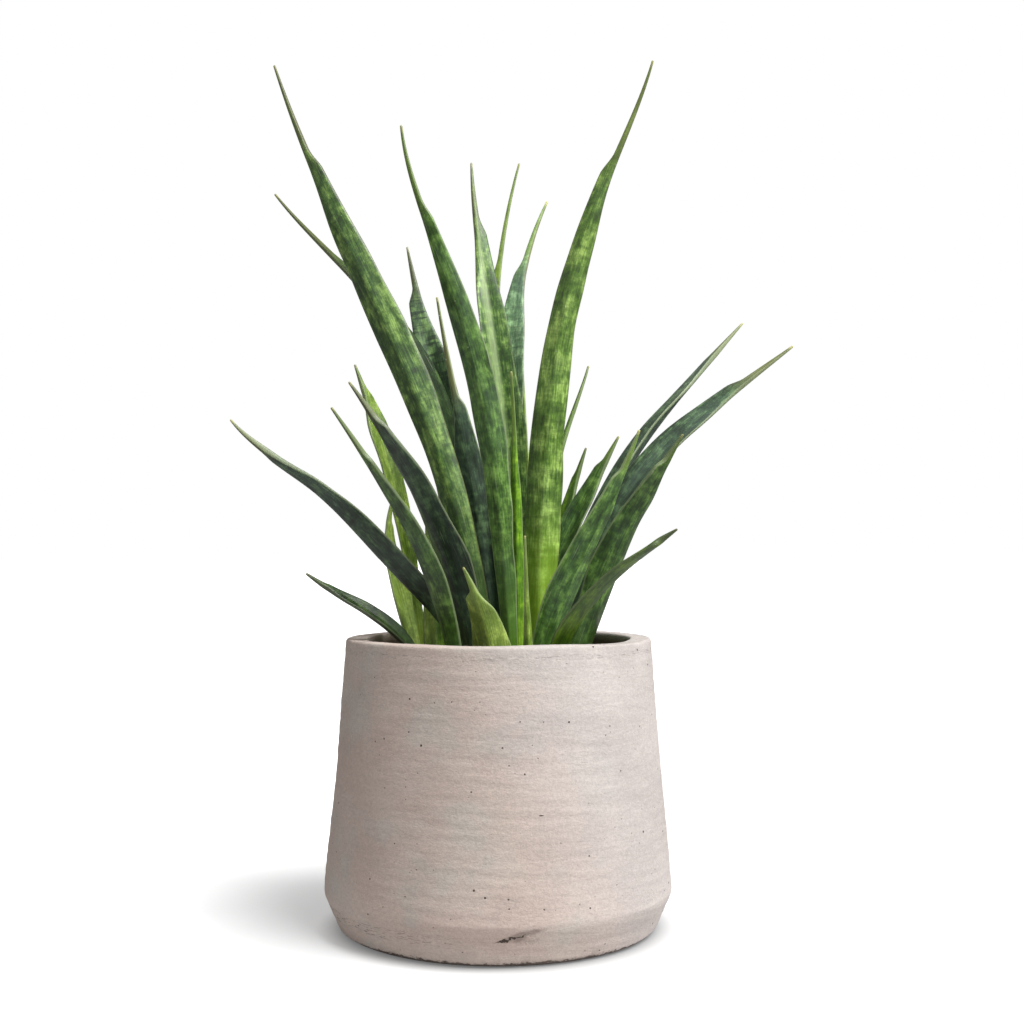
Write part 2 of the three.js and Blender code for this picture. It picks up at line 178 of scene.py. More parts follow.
class Leaf(NamedTuple):
    """A leaf: its midrib's points in mm, of which the first stands at ROOT_Z; the way its channelled
    face looks at root and tip, in degrees from the front towards +X; its widest width; where it is
    widest and where its awl starts, as shares of its length; the margin with the sharp shoulder; its
    skin; how much lighter than that it is, partly its own tone and partly painted light and shade for
    how the light falls on it; and how strong the painted highlight beside its fold is."""

    through: tuple
    faces: tuple
    width: float
    belly: float
    blade: float
    shoulder: int
    skin: str
    lift: float = 1.0
    painted_highlight: float = 0.0


LEAVES = {
    # The tall leaves
    "tall_left": Leaf(
        ((-1, -6), (-22, -5, 219), (-59.4, 4, 320), (-91.4, 14, 388), (-110.8, 21.5, 432),
         (-128.8, 30, 479.5)),
        (170, 150), 20.5, 0.65, 0.85, -1, "bright", 0.86),
    "tall_front": Leaf(
        ((7, -26), (4, -32, 186), (-7.3, -42, 278), (-21.4, -49.6, 330), (-34.3, -55, 365),
         (-48.8, -62, 417)),
        (175, 160), 15.5, 0.6, 0.87, -1, "green", 1.27),
    "tall_back": Leaf(
        ((10, 4), (6.5, 12, 230), (-4.1, 24, 330), (-12.3, 33.3, 385), (-16.2, 42, 426.5)),
        (10, 20), 20.5, 0.55, 0.885, 1, "bright", 1.06, 0.6),
    "tall_right": Leaf(
        ((22, -4), (22.8, -8, 190), (27.2, -11, 270), (38.1, -12, 340), (57.5, -10, 400), (84.2, -8, 469)),
        (180, 175), 20, 0.32, 0.84, 1, "sunny", 1.08),
    # The leaves behind the tall ones
    "slim_back": Leaf(
        ((2, 36), (-4, 50, 243), (-0.9, 70, 367), (11.7, 85, 438)),
        (0, -10), 12.6, 0.45, 0.8, -1, "lime", 1.15),
    "dark_back": Leaf(
        ((13, 20), (6.4, 33, 254), (12.2, 49, 357), (28.2, 62, 409)),
        (-10, -25), 20, 0.7, 0.86, -1, "teal", 2.15),
    "banded_back": Leaf(
        ((-13, 42), (-24, 52, 243), (-45.4, 62, 338), (-55.3, 68, 383)),
        (10, 5), 23.8, 0.6, 0.9, -1, "banded", 0.96),
    "strip_back": Leaf(
        ((17, 34), (16, 44, 243), (13, 50, 302), (12, 54, 349)),
        (-20, -20), 6, 0.4, 0.85, 1, "lime", 1.4),
    "back_left": Leaf(
        ((-9, 22), (-22, 31, 208), (-41, 46, 298), (-91.6, 62, 369), (-135, 72, 416)),
        (40, 60), 17.8, 0.5, 0.84, 1, "shade", 1.1),
    # The middle of the clump
    "dark_mid": Leaf(
        ((-3, 12), (-13, 10, 230), (-26.4, 7, 299), (-33.9, 2, 341)),
        (175, 165), 19, 0.65, 0.76, -1, "slate", 1.75),
    "mid_front": Leaf(
        ((12, -14), (10, -20, 197), (9, -30, 250), (7, -44, 294)),
        (180, 180), 8, 0.55, 0.8, 1, "fresh", 1.28),
    "new_shoot": Leaf(
        ((17, -44), (16, -46, 151), (15, -48, 179), (14, -50, 209)),
        (180, 180), 5, 0.4, 0.7, 1, "lime", 1.05),
    "short_front": Leaf(
        ((1, -44), (-3, -48, 148), (-9, -54, 173), (-17, -60, 193)),
        (175, 165), 22, 0.35, 0.84, 1, "olive", 1.18),
    # The left side
    "slate_left": Leaf(
        ((-7, -16), (-30.7, -26, 205), (-48.4, -36, 244), (-76, -50, 288)),
        (150, 120), 23.2, 0.5, 0.88, -1, "slate"),
    "front_left": Leaf(
        ((-21, -32), (-35, -44, 188), (-52, -58, 225), (-81.4, -78, 272)),
        (150, 125), 14, 0.5, 0.84, -1, "green", 0.95),
    "arch_left": Leaf(
        ((-24, -2.6), (-52, -7.2, 186.5), (-73, -9.6, 209.2), (-97, -12, 233.5), (-129, -16, 258.5),
         (-143, -18, 271.6)),
        (125, 105), 23, 0.55, 0.88, 1, "slate", 1.3),
    "low_left": Leaf(
        ((-37, -12), (-51, -16, 152.8), (-78, -26, 174.9), (-100, -32, 189.6)),
        (90, 80), 11, 0.5, 0.9, 1, "green", 0.46),
    "pale_left": Leaf(
        ((-43, 36), (-54, 36, 205), (-68, 38, 263), (-83.4, 42, 309)),
        (40, 50), 15, 0.88, 0.93, 1, "lime", 0.92),
    "olive_left": Leaf(
        ((-45.4, 16), (-54.4, 17, 169), (-61.6, 18, 205), (-59, 18, 232)),
        (60, 40), 13, 0.6, 0.88, 1, "olive", 1.5),
    "olive_small": Leaf(
        ((-37, 24), (-39.6, 24, 152), (-40, 24, 183), (-41, 24, 215)),
        (30, 30), 8, 0.45, 0.85, 1, "olive", 0.75),
    # The right side
    "front_right": Leaf(
        ((19, -26), (37.6, -40, 186), (55.7, -52, 225), (71.2, -64, 262)),
        (-160, -150), 17, 0.5, 0.86, 1, "green", 2.0),
    "low_right": Leaf(
        ((29, -40), (42, -52, 167), (64, -60, 192.7), (89.2, -70, 212.3)),
        (-120, -105), 19.4, 0.4, 0.92, 1, "fresh", 0.42),
    "broad_right": Leaf(
        ((34.6, -12), (54.8, -20, 177), (77.5, -28, 229), (96.2, -38, 262)),
        (-150, -130), 23, 0.55, 0.9, 1, "green"),
    "arch_right": Leaf(
        ((37, 6), (72.4, 9, 230.8), (123.4, 12, 285), (147.9, 13.3, 303.8), (164, 14, 315.8)),
        (-60, -60), 24, 0.5, 0.86, -1, "slate", 1.95),
    "high_right": Leaf(
        ((34, 26), (64.2, 42, 232.2), (114.7, 60, 303.3), (145.2, 70, 337.6)),
        (-70, -70), 19.4, 0.5, 0.9, -1, "slate", 1.8),
    "mid_right": Leaf(
        ((24, 14), (34.6, 16, 197), (52, 15, 237), (66.5, 12, 265)),
        (-45, -45), 19, 0.5, 0.9, -1, "green", 1.5),
    "small_right": Leaf(
        ((26, 30), (31.9, 36, 191), (42.3, 42, 236), (50.2, 46, 261)),
        (-50, -50), 13.6, 0.45, 0.9, -1, "fresh", 0.72),
    "slim_right": Leaf(
        ((27, 46), (31.4, 54, 208), (41, 62, 276), (46.9, 65.2, 293), (53, 70, 311.8)),
        (-60, -60), 7, 0.45, 0.86, -1, "fresh"),
    # The shorter leaves at the back
    "rear_left": Leaf(
        ((-22, 54), (-27, 66, 200), (-38, 84, 257), (-56, 106, 300)),
        (20, 30), 15, 0.5, 0.86, 1, "green"),
    "rear_left_low": Leaf(
        ((-33, 40), (-37, 51, 163), (-41, 74, 200), (-43, 100, 225)),
        (10, 20), 12, 0.5, 0.88, -1, "fresh"),
    "rear_mid": Leaf(
        ((5, 54), (4, 70, 210), (4, 90, 273), (7, 114, 317)),
        (0, -5), 15, 0.5, 0.85, 1, "green"),
    "rear_mid_low": Leaf(
        ((-8, 50), (-9, 61, 163), (-10, 86, 203), (-12, 120, 235)),
        (5, 5), 14, 0.45, 0.88, 1, "green"),
    "rear_right": Leaf(
        ((20, 56), (22, 70, 200), (25, 90, 257), (30, 114, 301)),
        (-10, -15), 14, 0.5, 0.86, -1, "green"),
    "rear_right_low": Leaf(
        ((38, 36), (43, 45, 155), (56, 66, 185), (70, 92, 205)),
        (-35, -45), 12, 0.5, 0.9, -1, "green"),
}


def paint(red, green, blue):
    """A paint-chart colour, 0 to 255, as the linear values that shaders read."""
    chart = np.array([red, green, blue]) / 255
    return np.where(chart > 0.04045, ((chart + 0.055) / 1.055) ** 2.4, chart / 12.92).tolist()


class Skin(NamedTuple):
    """A leaf's colours and pattern: its material slot, which is not used; its green and its light mottle; the
    tints of its root, its awl and its margin; the strength of the dark crossbands and of the grey
    bloom; the share of the leaf that the mottle covers; the size of its mottles; its darkest green as
    a share of the green; and its gloss."""

    slot: str
    green: list
    light: list
    root: list
    awl: list
    rim: list
    bands: float
    bloom: float
    cover: float = 0.5
    scale: float = 1.0
    depth: float = 0.36
    gloss: float = 0.45


OLIVE_AWL = paint(112, 122, 62)
BROWN_AWL = paint(102, 104, 58)
GREEN_AWL = paint(104, 128, 50)
LIGHT_RIM = paint(152, 162, 126)
PURPLE_RIM = paint(112, 98, 80)

# A root tint darker than its green is painted shade among the leaf bases; a lighter one is the leaf's own
# pale base.
SKINS = {
    "bright": Skin("leaf_bright", paint(70, 108, 34), paint(158, 196, 98), paint(56, 84, 24),
                   OLIVE_AWL, PURPLE_RIM, 0.35, 0.1),
    "sunny": Skin("leaf_bright", paint(88, 124, 42), paint(176, 210, 108), paint(166, 208, 56),
                  OLIVE_AWL, PURPLE_RIM, 0.35, 0.05, scale=1.7),
    "green": Skin("leaf_green", paint(58, 90, 32), paint(114, 152, 70), paint(76, 112, 28),
                  GREEN_AWL, LIGHT_RIM, 0.35, 0.12, 0.45),
    "fresh": Skin("leaf_green", paint(92, 136, 28), paint(148, 194, 50), paint(158, 202, 50),
                  GREEN_AWL, LIGHT_RIM, 0.15, 0.03, scale=1.2, depth=0.65),
    "slate": Skin("leaf_slate", paint(42, 60, 40), paint(90, 117, 78), paint(44, 66, 28),
                  BROWN_AWL, LIGHT_RIM, 0.3, 0.16, 0.4),
    "shade": Skin("leaf_slate", paint(46, 72, 30), paint(84, 114, 52), paint(44, 66, 28),
                  BROWN_AWL, LIGHT_RIM, 0.3, 0.05, 0.4, depth=0.5, gloss=0.08),
    "teal": Skin("leaf_slate", paint(88, 118, 82), paint(144, 174, 128), paint(108, 140, 68),
                 GREEN_AWL, PURPLE_RIM, 0.5, 0.25),
    "banded": Skin("leaf_slate", paint(70, 100, 62), paint(142, 180, 104), paint(90, 122, 52),
                   BROWN_AWL, LIGHT_RIM, 0.9, 0.2),
    "olive": Skin("leaf_olive", paint(114, 138, 54), paint(168, 190, 92), paint(176, 204, 74),
                  GREEN_AWL, LIGHT_RIM, 0.1, 0.1, scale=1.3, depth=0.85),
    "lime": Skin("leaf_olive", paint(114, 146, 46), paint(176, 204, 92), paint(186, 214, 82),
                 GREEN_AWL, LIGHT_RIM, 0.1, 0.05, scale=1.3, depth=0.7),
}


# Numbers


def lerp(start, end, share):
    """The value a share of the way from start to end."""
    return start + (end - start) * share


def ease(low, high, value):
    """0 below low, 1 above high, with a smooth step between them."""
    t = np.clip((value - low) / (high - low), 0, 1)
    return t * t * (3 - 2 * t)


def circle(count):
    """Angles that share out a full turn."""
    return np.linspace(0, 2 * math.pi, count, endpoint=False)


def vectors(*parts):
    """Vectors from their parts, which spread to one shape."""
    return np.stack(np.broadcast_arrays(*parts), -1)


def unit(rows):
    """Vectors in rows, each made of length 1."""
    return rows / np.linalg.norm(rows, axis=1, keepdims=True)


def swell(points, size, seed, count=28):
    """Smooth noise of about unit spread: the sum of plane waves with drawn directions and phases.
    Their lengths lie round size, which may differ along x, y and z."""
    draw = np.random.default_rng(seed)
    heading = unit(draw.normal(size=(count, 3)))
    turns = 2 * math.pi / draw.uniform(0.7, 1.7, (count, 1))
    phase = draw.uniform(0, 2 * math.pi, count)
    waves = np.sin((points / np.array(size)) @ (heading * turns).T + phase)
    return math.sqrt(2 / count) * waves.sum(-1)


def path(start, *moves):
    """Points of [radius, height] along a section from start. A move is its number of points and where
    it ends, with the sharp corner that pulls its quadratic curve between them if it is rounded. Each
    move leaves its end to the next."""
    stretches = []
    for count, *places in moves:
        t = np.linspace(0, 1, count, endpoint=False)[:, None]
        pull = [np.array(place, float) for place in (start, *places)]
        while len(pull) > 1:
            pull = [lerp(near, far, t) for near, far in zip(pull, pull[1:])]
        stretches += pull
        start = places[-1]
    return np.concatenate(stretches)


def turned(pairs, angle):
    """Pairs of [radius, height] turned about the upright axis."""
    radius, height = pairs[:, 0, None], pairs[:, 1, None]
    return vectors(radius * np.sin(angle), -radius * np.cos(angle), height)


# Meshes


def ring_faces(rows, around):
    """The four-sided faces between rings of points that follow one another, and the triangles that
    close the first and last ring with a fan round each pole. The poles come after the rings."""
    here = np.arange(around)
    beside = (here + 1) % around
    row = np.arange(rows - 1)[:, None] * around
    under = row + around
    quads = np.stack([row + here, row + beside, under + beside, under + here], -1).reshape(-1, 4)
    pole = np.full(around, rows * around)
    last = (rows - 1) * around
    fans = [np.stack([pole, beside, here], -1), np.stack([pole + 1, last + here, last + beside], -1)]
    return quads, np.concatenate(fans)


def closed_skin(name, rings, poles, marks):
    """A mesh object from rings of points and their two poles. marks gives point attributes, each with
    one vector for each ring point. Faces point outwards."""
    quads, fans = ring_faces(*rings.shape[:2])
    points = np.concatenate([rings.reshape(-1, 3), poles])
    a, b, c, d = (points[quads[:, i]] for i in range(4))
    volume = np.einsum("ij,ij->", a, np.cross(b, c) + np.cross(c, d))
    if volume < 0:
        quads, fans = quads[:, ::-1], fans[:, ::-1]
    flat = {mark: np.concatenate([values.reshape(-1, 3), values[[0, -1]].mean(1)])
            for mark, values in marks.items()}
    return new_object(name, points, quads, fans, flat)


def new_object(name, points, quads, triangles, marks):
    """An object at the origin with a smooth-shaded mesh of four-sided faces and triangles."""
    mesh = bpy.data.meshes.new(name)
    mesh.vertices.add(len(points))
    mesh.vertices.foreach_set("co", points.astype(np.float32).ravel())
    corners = np.concatenate([quads.ravel(), triangles.ravel()])
    mesh.loops.add(len(corners))
    mesh.loops.foreach_set("vertex_index", corners.astype(np.int32))
    starts = np.concatenate([np.arange(len(quads)) * 4, quads.size + np.arange(len(triangles)) * 3])
    mesh.polygons.add(len(starts))
    mesh.polygons.foreach_set("loop_start", starts.astype(np.int32))
    mesh.update(calc_edges=True)
    mesh.shade_smooth()
    for mark, values in marks.items():
        attribute = mesh.attributes.new(mark, "FLOAT_VECTOR", "POINT")
        attribute.data.foreach_set("vector", values.astype(np.float32).ravel())
    piece = bpy.data.objects.new(name, mesh)
    bpy.context.scene.collection.objects.link(piece)
    return piece


def settle(piece, node, material):
    """Gives the piece its material, hangs it under the root body and hides the solid that it stands for."""
    piece.data.materials.append(material)
    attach(piece, "root")
    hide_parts(node)


# Shader nodes


def feed(tree, socket, value):
    """Links value to the socket when it comes from another node, and otherwise sets it."""
    if isinstance(value, bpy.types.NodeSocket):
        tree.links.new(value, socket)
    elif socket.type == "RGBA":
        socket.default_value = (*value, 1.0)
    else:
        socket.default_value = value


def fill(tree, node, values):
    """Feeds the inputs of a node that are named."""
    for label, value in values.items():
        feed(tree, node.inputs[label], value)


def add(tree, kind, *values, **traits):
    """A new node of a kind with its traits, whose first inputs are fed in order."""
    node = tree.nodes.new("ShaderNode" + kind)
    for trait, value in traits.items():
        setattr(node, trait, value)
    for socket, value in zip(node.inputs, values):
        feed(tree, socket, value)
    return node


def reckon(tree, operation, total, *others):
    """The result of one sum of two values, or of more, one after another."""
    for other in others or (0.0,):
        total = add(tree, "Math", total, other, operation=operation).outputs[0]
    return total


def weighed(tree, *parts):
    """The sum of values, each times its weight."""
    total = 0.0
    for value, weight in parts:
        total = add(tree, "Math", value, weight, total, operation="MULTIPLY_ADD").outputs[0]
    return total


def step(tree, value, low, high, start=0.0, end=1.0):
    """A smooth step of a value, from start at low to end at high."""
    return add(tree, "MapRange", value, low, high, start, end, interpolation_type="SMOOTHSTEP").outputs[0]


def mix(tree, share, first, second, blend="MIX"):
    """Two colours, mixed by a share."""
    node = add(tree, "Mix", share, data_type="RGBA", blend_type=blend)
    colours = (socket for socket in node.inputs if socket.type == "RGBA")
    for socket, colour in zip(colours, (first, second)):
        feed(tree, socket, colour)
    return next(socket for socket in node.outputs if socket.type == "RGBA")


def layered(tree, colour, *layers):
    """A colour under layers of others, each with the share of it that shows."""
    for share, over in layers:
        colour = mix(tree, share, colour, over)
    return colour


def shaded(tree, colour, *steps):
    """A colour made darker or lighter by smooth steps, each given as step takes it."""
    for each in steps:
        colour = mix(tree, 1.0, colour, step(tree, *each), "MULTIPLY")
    return colour


def vector_sum(tree, operation, first, second):
    """The result of one sum of two vectors."""
    return add(tree, "VectorMath", first, second, operation=operation).outputs[0]


def distance(tree, vector):
    """How long a vector is."""
    return add(tree, "VectorMath", vector, operation="LENGTH").outputs["Value"]


def object_place(tree):
    """The place on the object, in metres."""
    return add(tree, "TexCoord").outputs["Object"]


def parts_of(tree, vector):
    """A vector's x, y and z."""
    return add(tree, "SeparateXYZ", vector).outputs


def read_mark(tree, name):
    """A mark on the mesh as a vector."""
    return add(tree, "Attribute", attribute_name=name).outputs["Vector"]


def new_group(name, inputs, output):
    """An empty node group with named inputs, each with its default, and one output."""
    tree = bpy.data.node_groups.new(name, "ShaderNodeTree")
    for label, default in inputs.items():
        kind = "NodeSocketVector" if isinstance(default, tuple) else "NodeSocketFloat"
        tree.interface.new_socket(label, in_out="INPUT", socket_type=kind).default_value = default
    tree.interface.new_socket(output, in_out="OUTPUT", socket_type="NodeSocketFloat")
    entry = tree.nodes.new("NodeGroupInput").outputs
    leave = tree.nodes.new("NodeGroupOutput").inputs[0]
    return tree, entry, leave


def use_group(tree, name, build, values):
    """A shared effect placed in a material with its own values, and built the first time."""
    node = add(tree, "Group", node_tree=bpy.data.node_groups.get(name) or build(name))
    fill(tree, node, values)
    return node.outputs[0]


def grain(tree, **values):
    """Noise whose spots have a given size in metres along each axis, drawn again for each seed."""
    return use_group(tree, "Stretched grain", build_grain, values)


def build_grain(name):
    """The group that grain uses."""
    inputs = {"Vector": (0, 0, 0), "Size": (0.01, 0.01, 0.01), "Seed": 0.0, "Detail": 3.0}
    tree, entry, leave = new_group(name, inputs, "Value")
    shrunk = vector_sum(tree, "DIVIDE", entry["Vector"], entry["Size"])
    noise = add(tree, "TexNoise", vector_sum(tree, "ADD", shrunk, entry["Seed"]))
    fill(tree, noise, {"Scale": 1.0, "Roughness": 0.6, "Detail": entry["Detail"]})
    feed(tree, leave, noise.outputs[0])
    return tree


def specks(tree, **values):
    """Round specks with frayed edges: one cell in each spacing, of which chance says how many show.
    A speck's radius is a share of the spacing."""
    return use_group(tree, "Specks", build_specks, values)


def build_specks(name):
    """The group that specks uses."""
    inputs = {"Vector": (0, 0, 0), "Spacing": 0.01, "Radius": 0.1, "Chance": 0.5}
    tree, entry, leave = new_group(name, inputs, "Mask")
    shrunk = vector_sum(tree, "DIVIDE", entry["Vector"], entry["Spacing"])
    cells = add(tree, "TexVoronoi", shrunk)
    fill(tree, cells, {"Scale": 1.0})
    fray = add(tree, "TexNoise", shrunk)
    fill(tree, fray, {"Scale": 9.0})
    chance, size, _ = add(tree, "SeparateColor", cells.outputs["Color"]).outputs
    frayed = reckon(tree, "MULTIPLY", cells.outputs["Distance"], reckon(tree, "ADD", fray.outputs[0], 0.5))
    reach = reckon(tree, "MULTIPLY", entry["Radius"], reckon(tree, "ADD", size, 0.4))
    inside = step(tree, reckon(tree, "DIVIDE", frayed, reach), 1.1, 0.7)
    shown = reckon(tree, "LESS_THAN", chance, entry["Chance"])
    feed(tree, leave, reckon(tree, "MULTIPLY", inside, shown))
    return tree


def new_material(name):
    """An empty material: itself, the tree to build in, and its shader."""
    material = bpy.data.materials.new(name)
    material.use_nodes = True
    return material, material.node_tree, material.node_tree.nodes["Principled BSDF"]


def relief(tree, height, depth, strength):
    """The normals of a bump of the given depth in metres, from a height between 0 and 1."""
    bump = add(tree, "Bump")
    fill(tree, bump, {"Strength": strength, "Distance": depth, "Height": height})
    return bump.outputs[0]


# Leaves


def midrib(leaf, shares):
    """Points and directions of the one polynomial through the leaf's points, each at its share of the
    chords' length, read at shares of the length along the arc. The last value is that length, in mm."""
    root, *others = leaf.through
    points = np.array([(*root, ROOT_Z), *others], float)
    chords = np.linalg.norm(np.diff(points, axis=0), axis=1)
    knots = np.concatenate([[0], np.cumsum(chords)]) / chords.sum()
    fit = np.polynomial.Polynomial.fit
    fits = [fit(knots, points[:, i], len(points) - 1, domain=[0, 1]) for i in range(3)]
    fine = np.linspace(0, 1, MIDRIB_STEPS)
    track = np.stack([curve(fine) for curve in fits], -1)
    travelled = np.concatenate([[0], np.cumsum(np.linalg.norm(np.diff(track, axis=0), axis=1))])
    at = np.interp(shares * travelled[-1], travelled, fine)
    place = np.stack([curve(at) for curve in fits], -1)
    along = np.stack([curve.deriv()(at) for curve in fits], -1)
    return place, unit(along), travelled[-1]


def awl_radius(leaf, share):
    """The awl's radius in mm: thinner and thinner from the shoulder to the tip."""
    base = AWL_RADIUS + AWL_RADIUS_PER_WIDTH * leaf.width
    return lerp(base, TIP_RADIUS, np.clip((share - leaf.blade) / (1 - leaf.blade), 0, 1))


def half_width(leaf, share, side):
    """Half the blade's width in mm on one side: it swells from the root to the belly, falls to the
    shoulder and there gives way to the awl."""
    along = np.minimum(share / leaf.blade, 1)
    rise = np.clip(1 - along / leaf.belly, 0, 1) ** RISE_POWER
    fall = np.clip((along - leaf.belly) / (1 - leaf.belly), 0, 1) ** FALL_POWER
    blade = leaf.width / 2 * (1 - (1 - ROOT_SHARE) * rise - (1 - SHOULDER_SHARE) * fall)
    drop = np.where(side == leaf.shoulder, SHARP_SHOULDER, SOFT_SHOULDER)
    stays = 1 - ease(leaf.blade - drop, leaf.blade + SHOULDER_END, share)
    awl = awl_radius(leaf, share)
    return awl + np.maximum(0, blade - awl) * stays


def vee(value, softness):
    """A V from 0 in the middle to 1 at the margin, with a softened bottom."""
    return (np.hypot(value, softness) - softness) / (math.hypot(1, softness) - softness)


def leaf_rings(leaf, seed, settings):
    """The leaf's skin as rings round its midrib, in mm. The first parameter is the share of the
    length; the second goes from one margin over the channelled face to the other, and back under the
    keel. The section is a softened V of the blade's thickness that turns round in the awl. Its
    margins wave a little, and its keel has low ribs."""
    length = midrib(leaf, np.zeros(1))[2]
    shares = np.linspace(0, 1, settings.rings + int(length * MM / settings.spacing))
    u = -np.cos(circle(settings.around))[None, :]
    face = np.where(np.arange(settings.around) <= settings.around // 2, 1.0, -1.0)[None, :]
    side = np.where(u < 0, -1, 1)
    share = shares[:, None]

    place, along, _ = midrib(leaf, shares)
    turn = np.radians(lerp(*leaf.faces, shares))
    out = vectors(np.sin(turn), -np.cos(turn), 0.0)
    out = unit(out - (out * along).sum(-1, keepdims=True) * along)
    across = np.cross(along, out)

    blade_left = 1 - ease(leaf.blade - ROUNDING_SHARE, leaf.blade, share)
    awl = awl_radius(leaf, share)
    middle = lerp(ROOT_THICKNESS, BLADE_THICKNESS, ease(0, THINNING_SHARE, share))
    middle = np.minimum(lerp(2 * awl, middle, blade_left), leaf.width / 2)
    margin = lerp(AWL_MARGIN_PER_RADIUS * awl, MARGIN_THICKNESS, blade_left)
    channel = lerp(ROOT_CHANNEL, BLADE_CHANNEL, ease(0, OPENING_SHARE, share)) * blade_left

    flank = vectors(share * length, FLANK_APART * side, 0.0)
    free = ease(*WAVES_START, share) * blade_left
    wave = settings.margin_wave / MM * free * min(1, leaf.width / FULL_WAVE_WIDTH)
    half = half_width(leaf, share, side) + swell(flank, MARGIN_WAVES, seed) * wave
    curl = swell(flank, CURL_WAVES, seed + 1) * wave * CURL_PER_WAVE * np.abs(u) ** 3

    bend = channel * half * vee(u, settings.fold) + curl
    body = (middle - margin) * np.sqrt(1 - u ** 2) + margin * np.sqrt(1 - np.abs(u) ** MARGIN_POWER)
    ribs = settings.ribs / MM * np.cos(u * half * 2 * math.pi * MM / settings.rib_spacing)
    body = body + ribs * (face < 0) * (1 - u ** 2) * blade_left
    rings = (place[:, None] + across[:, None] * (u * half)[..., None]
             + out[:, None] * (bend + face * body / 2)[..., None])
    marks = {
        "leaf_place": vectors(u * half, share * length, face * FACE_SHIFT) * MM,
        "leaf_share": vectors(u, share, (1 - np.abs(u)) * half * MM),
    }
    return rings, marks, along[-1]


def round_tip(rings, marks, along):
    """Closes the awl with a half ball: shrinking rings and a pole."""
    centre = rings[-1].mean(0)
    radius = np.linalg.norm(rings[-1] - centre, axis=1).mean()
    caps = [centre + along * radius * math.sin(a) + (rings[-1] - centre) * math.cos(a) for a in TIP_RINGS]
    marks = {mark: np.concatenate([values, np.repeat(values[-1:], len(caps), 0)])
             for mark, values in marks.items()}
    return np.concatenate([rings, caps]), marks, centre + along * radius


def leaf_material(name, leaf, seed, settings):
    """A waxy leaf skin. From a deep green to a light one it goes in soft mottles, more of them in some
    stretches than in others, with dark crossbands between them. Over those come fine flecks and
    fibres, on one leaf a painted highlight beside the fold, a patchy grey bloom, a root tint that is
    partly the leaf's own paler base and partly painted shade among the leaf bases, an awl of its own
    tint, a thin margin, pale scratches and specks, and a dry tip. Each leaf's colour is then made
    lighter or darker, partly for its own tone and partly as painted light and shade."""
    skin = SKINS[leaf.skin]
    material, tree, shader = new_material(name)
    place = read_mark(tree, "leaf_place")
    aside, along, margin = parts_of(tree, read_mark(tree, "leaf_share"))

    def noise(across, length, shift, detail):
        return grain(tree, Vector=place, Size=(across, length, 0.01), Seed=seed + shift, Detail=detail)

    tone, fibre, band, fleck, cloud, scratch, patch = (noise(*row) for row in LEAF_NOISES.values())
    mottle = noise(settings.mottle_width * skin.scale, settings.mottle_length * skin.scale, 3, 5)
    mottled = weighed(tree, (mottle, 0.5), (patch, 0.12), (tone, 0.22), (fibre, 0.16))
    edge = lerp(0.57, 0.43, skin.cover)
    deep = [skin.depth * part for part in skin.green]
    colour = mix(tree, step(tree, mottled, edge - 0.13, edge), deep, skin.green)
    colour = layered(
        tree, colour,
        (step(tree, mottled, edge - 0.04, edge + 0.13), skin.light),
        (step(tree, band, 0.48, 0.62, 0.0, skin.bands), deep),
    )
    colour = shaded(
        tree, colour,
        (fleck, 0.3, 0.7, 1 - settings.flecks, 1 + settings.flecks),
        (fibre, 0.3, 0.7, 1 - settings.threads, 1 + settings.threads),
    )
    # Painted highlight: a pale stripe beside the fold that stands in for the light catching it.
    if leaf.painted_highlight:
        beside = reckon(tree, "ABSOLUTE", reckon(tree, "ADD", aside, 0.22))
        painted_highlight = step(tree, weighed(tree, (beside, 1.0), (cloud, 0.3)), 0.6, 0.25, 0.0, leaf.painted_highlight)
        painted_highlight = reckon(tree, "MULTIPLY", painted_highlight, step(tree, fibre, 0.3, 0.6, 0.6, 1.0))
        colour = mix(tree, painted_highlight, colour, settings.highlight_colour)
    dots = specks(tree, Vector=place, Spacing=0.005, Radius=0.06, Chance=0.2)
    dots = reckon(tree, "MULTIPLY", dots, 0.5)
    colour = layered(
        tree, colour,
        (step(tree, cloud, 0.38, 0.66, 0.0, skin.bloom), settings.bloom_colour),
        # The root tint: partly the leaf's own paler base, partly painted shade where the leaf bases crowd
        # together.
        (step(tree, along, 0.34, 0.08, 0.0, 0.8), skin.root),
        (step(tree, along, leaf.blade - 0.05, leaf.blade + 0.05, 0.0, 0.65), skin.awl),
        (step(tree, margin, 0.0005, 0.00015, 0.0, 0.45), skin.rim),
        (reckon(tree, "MAXIMUM", dots, step(tree, scratch, 0.7, 0.8, 0.0, 0.35)), settings.speck_colour),
        (step(tree, along, 0.985, 0.997, 0.0, 0.7), settings.tip_colour),
    )
    height = weighed(tree, (fibre, 1.0), (band, 0.5), (fleck, 0.3))
    fill(tree, shader, {
        # The per-leaf lightness: partly the leaf's own tone, partly painted light and shade for how the light
        # falls on it.
        "Base Color": mix(tree, 1.0, colour, [leaf.lift] * 3, "MULTIPLY"),
        "Roughness": step(tree, cloud, 0.3, 0.7, settings.roughness - 0.06, settings.roughness + 0.1),
        "Specular IOR Level": skin.gloss,
        "Coat Weight": skin.gloss / 3,
        "Coat Roughness": 0.3,
        "Normal": relief(tree, height, 0.0003, 0.5),
    })
    return material


# Pot


def outer_radius(height):
    """The outer wall's radius in mm at a height: straight from the belly to the rim."""
    return lerp(BELLY_RADIUS, RIM_RADIUS, (height - BELLY_HEIGHT) / (POT_HEIGHT - BELLY_HEIGHT))


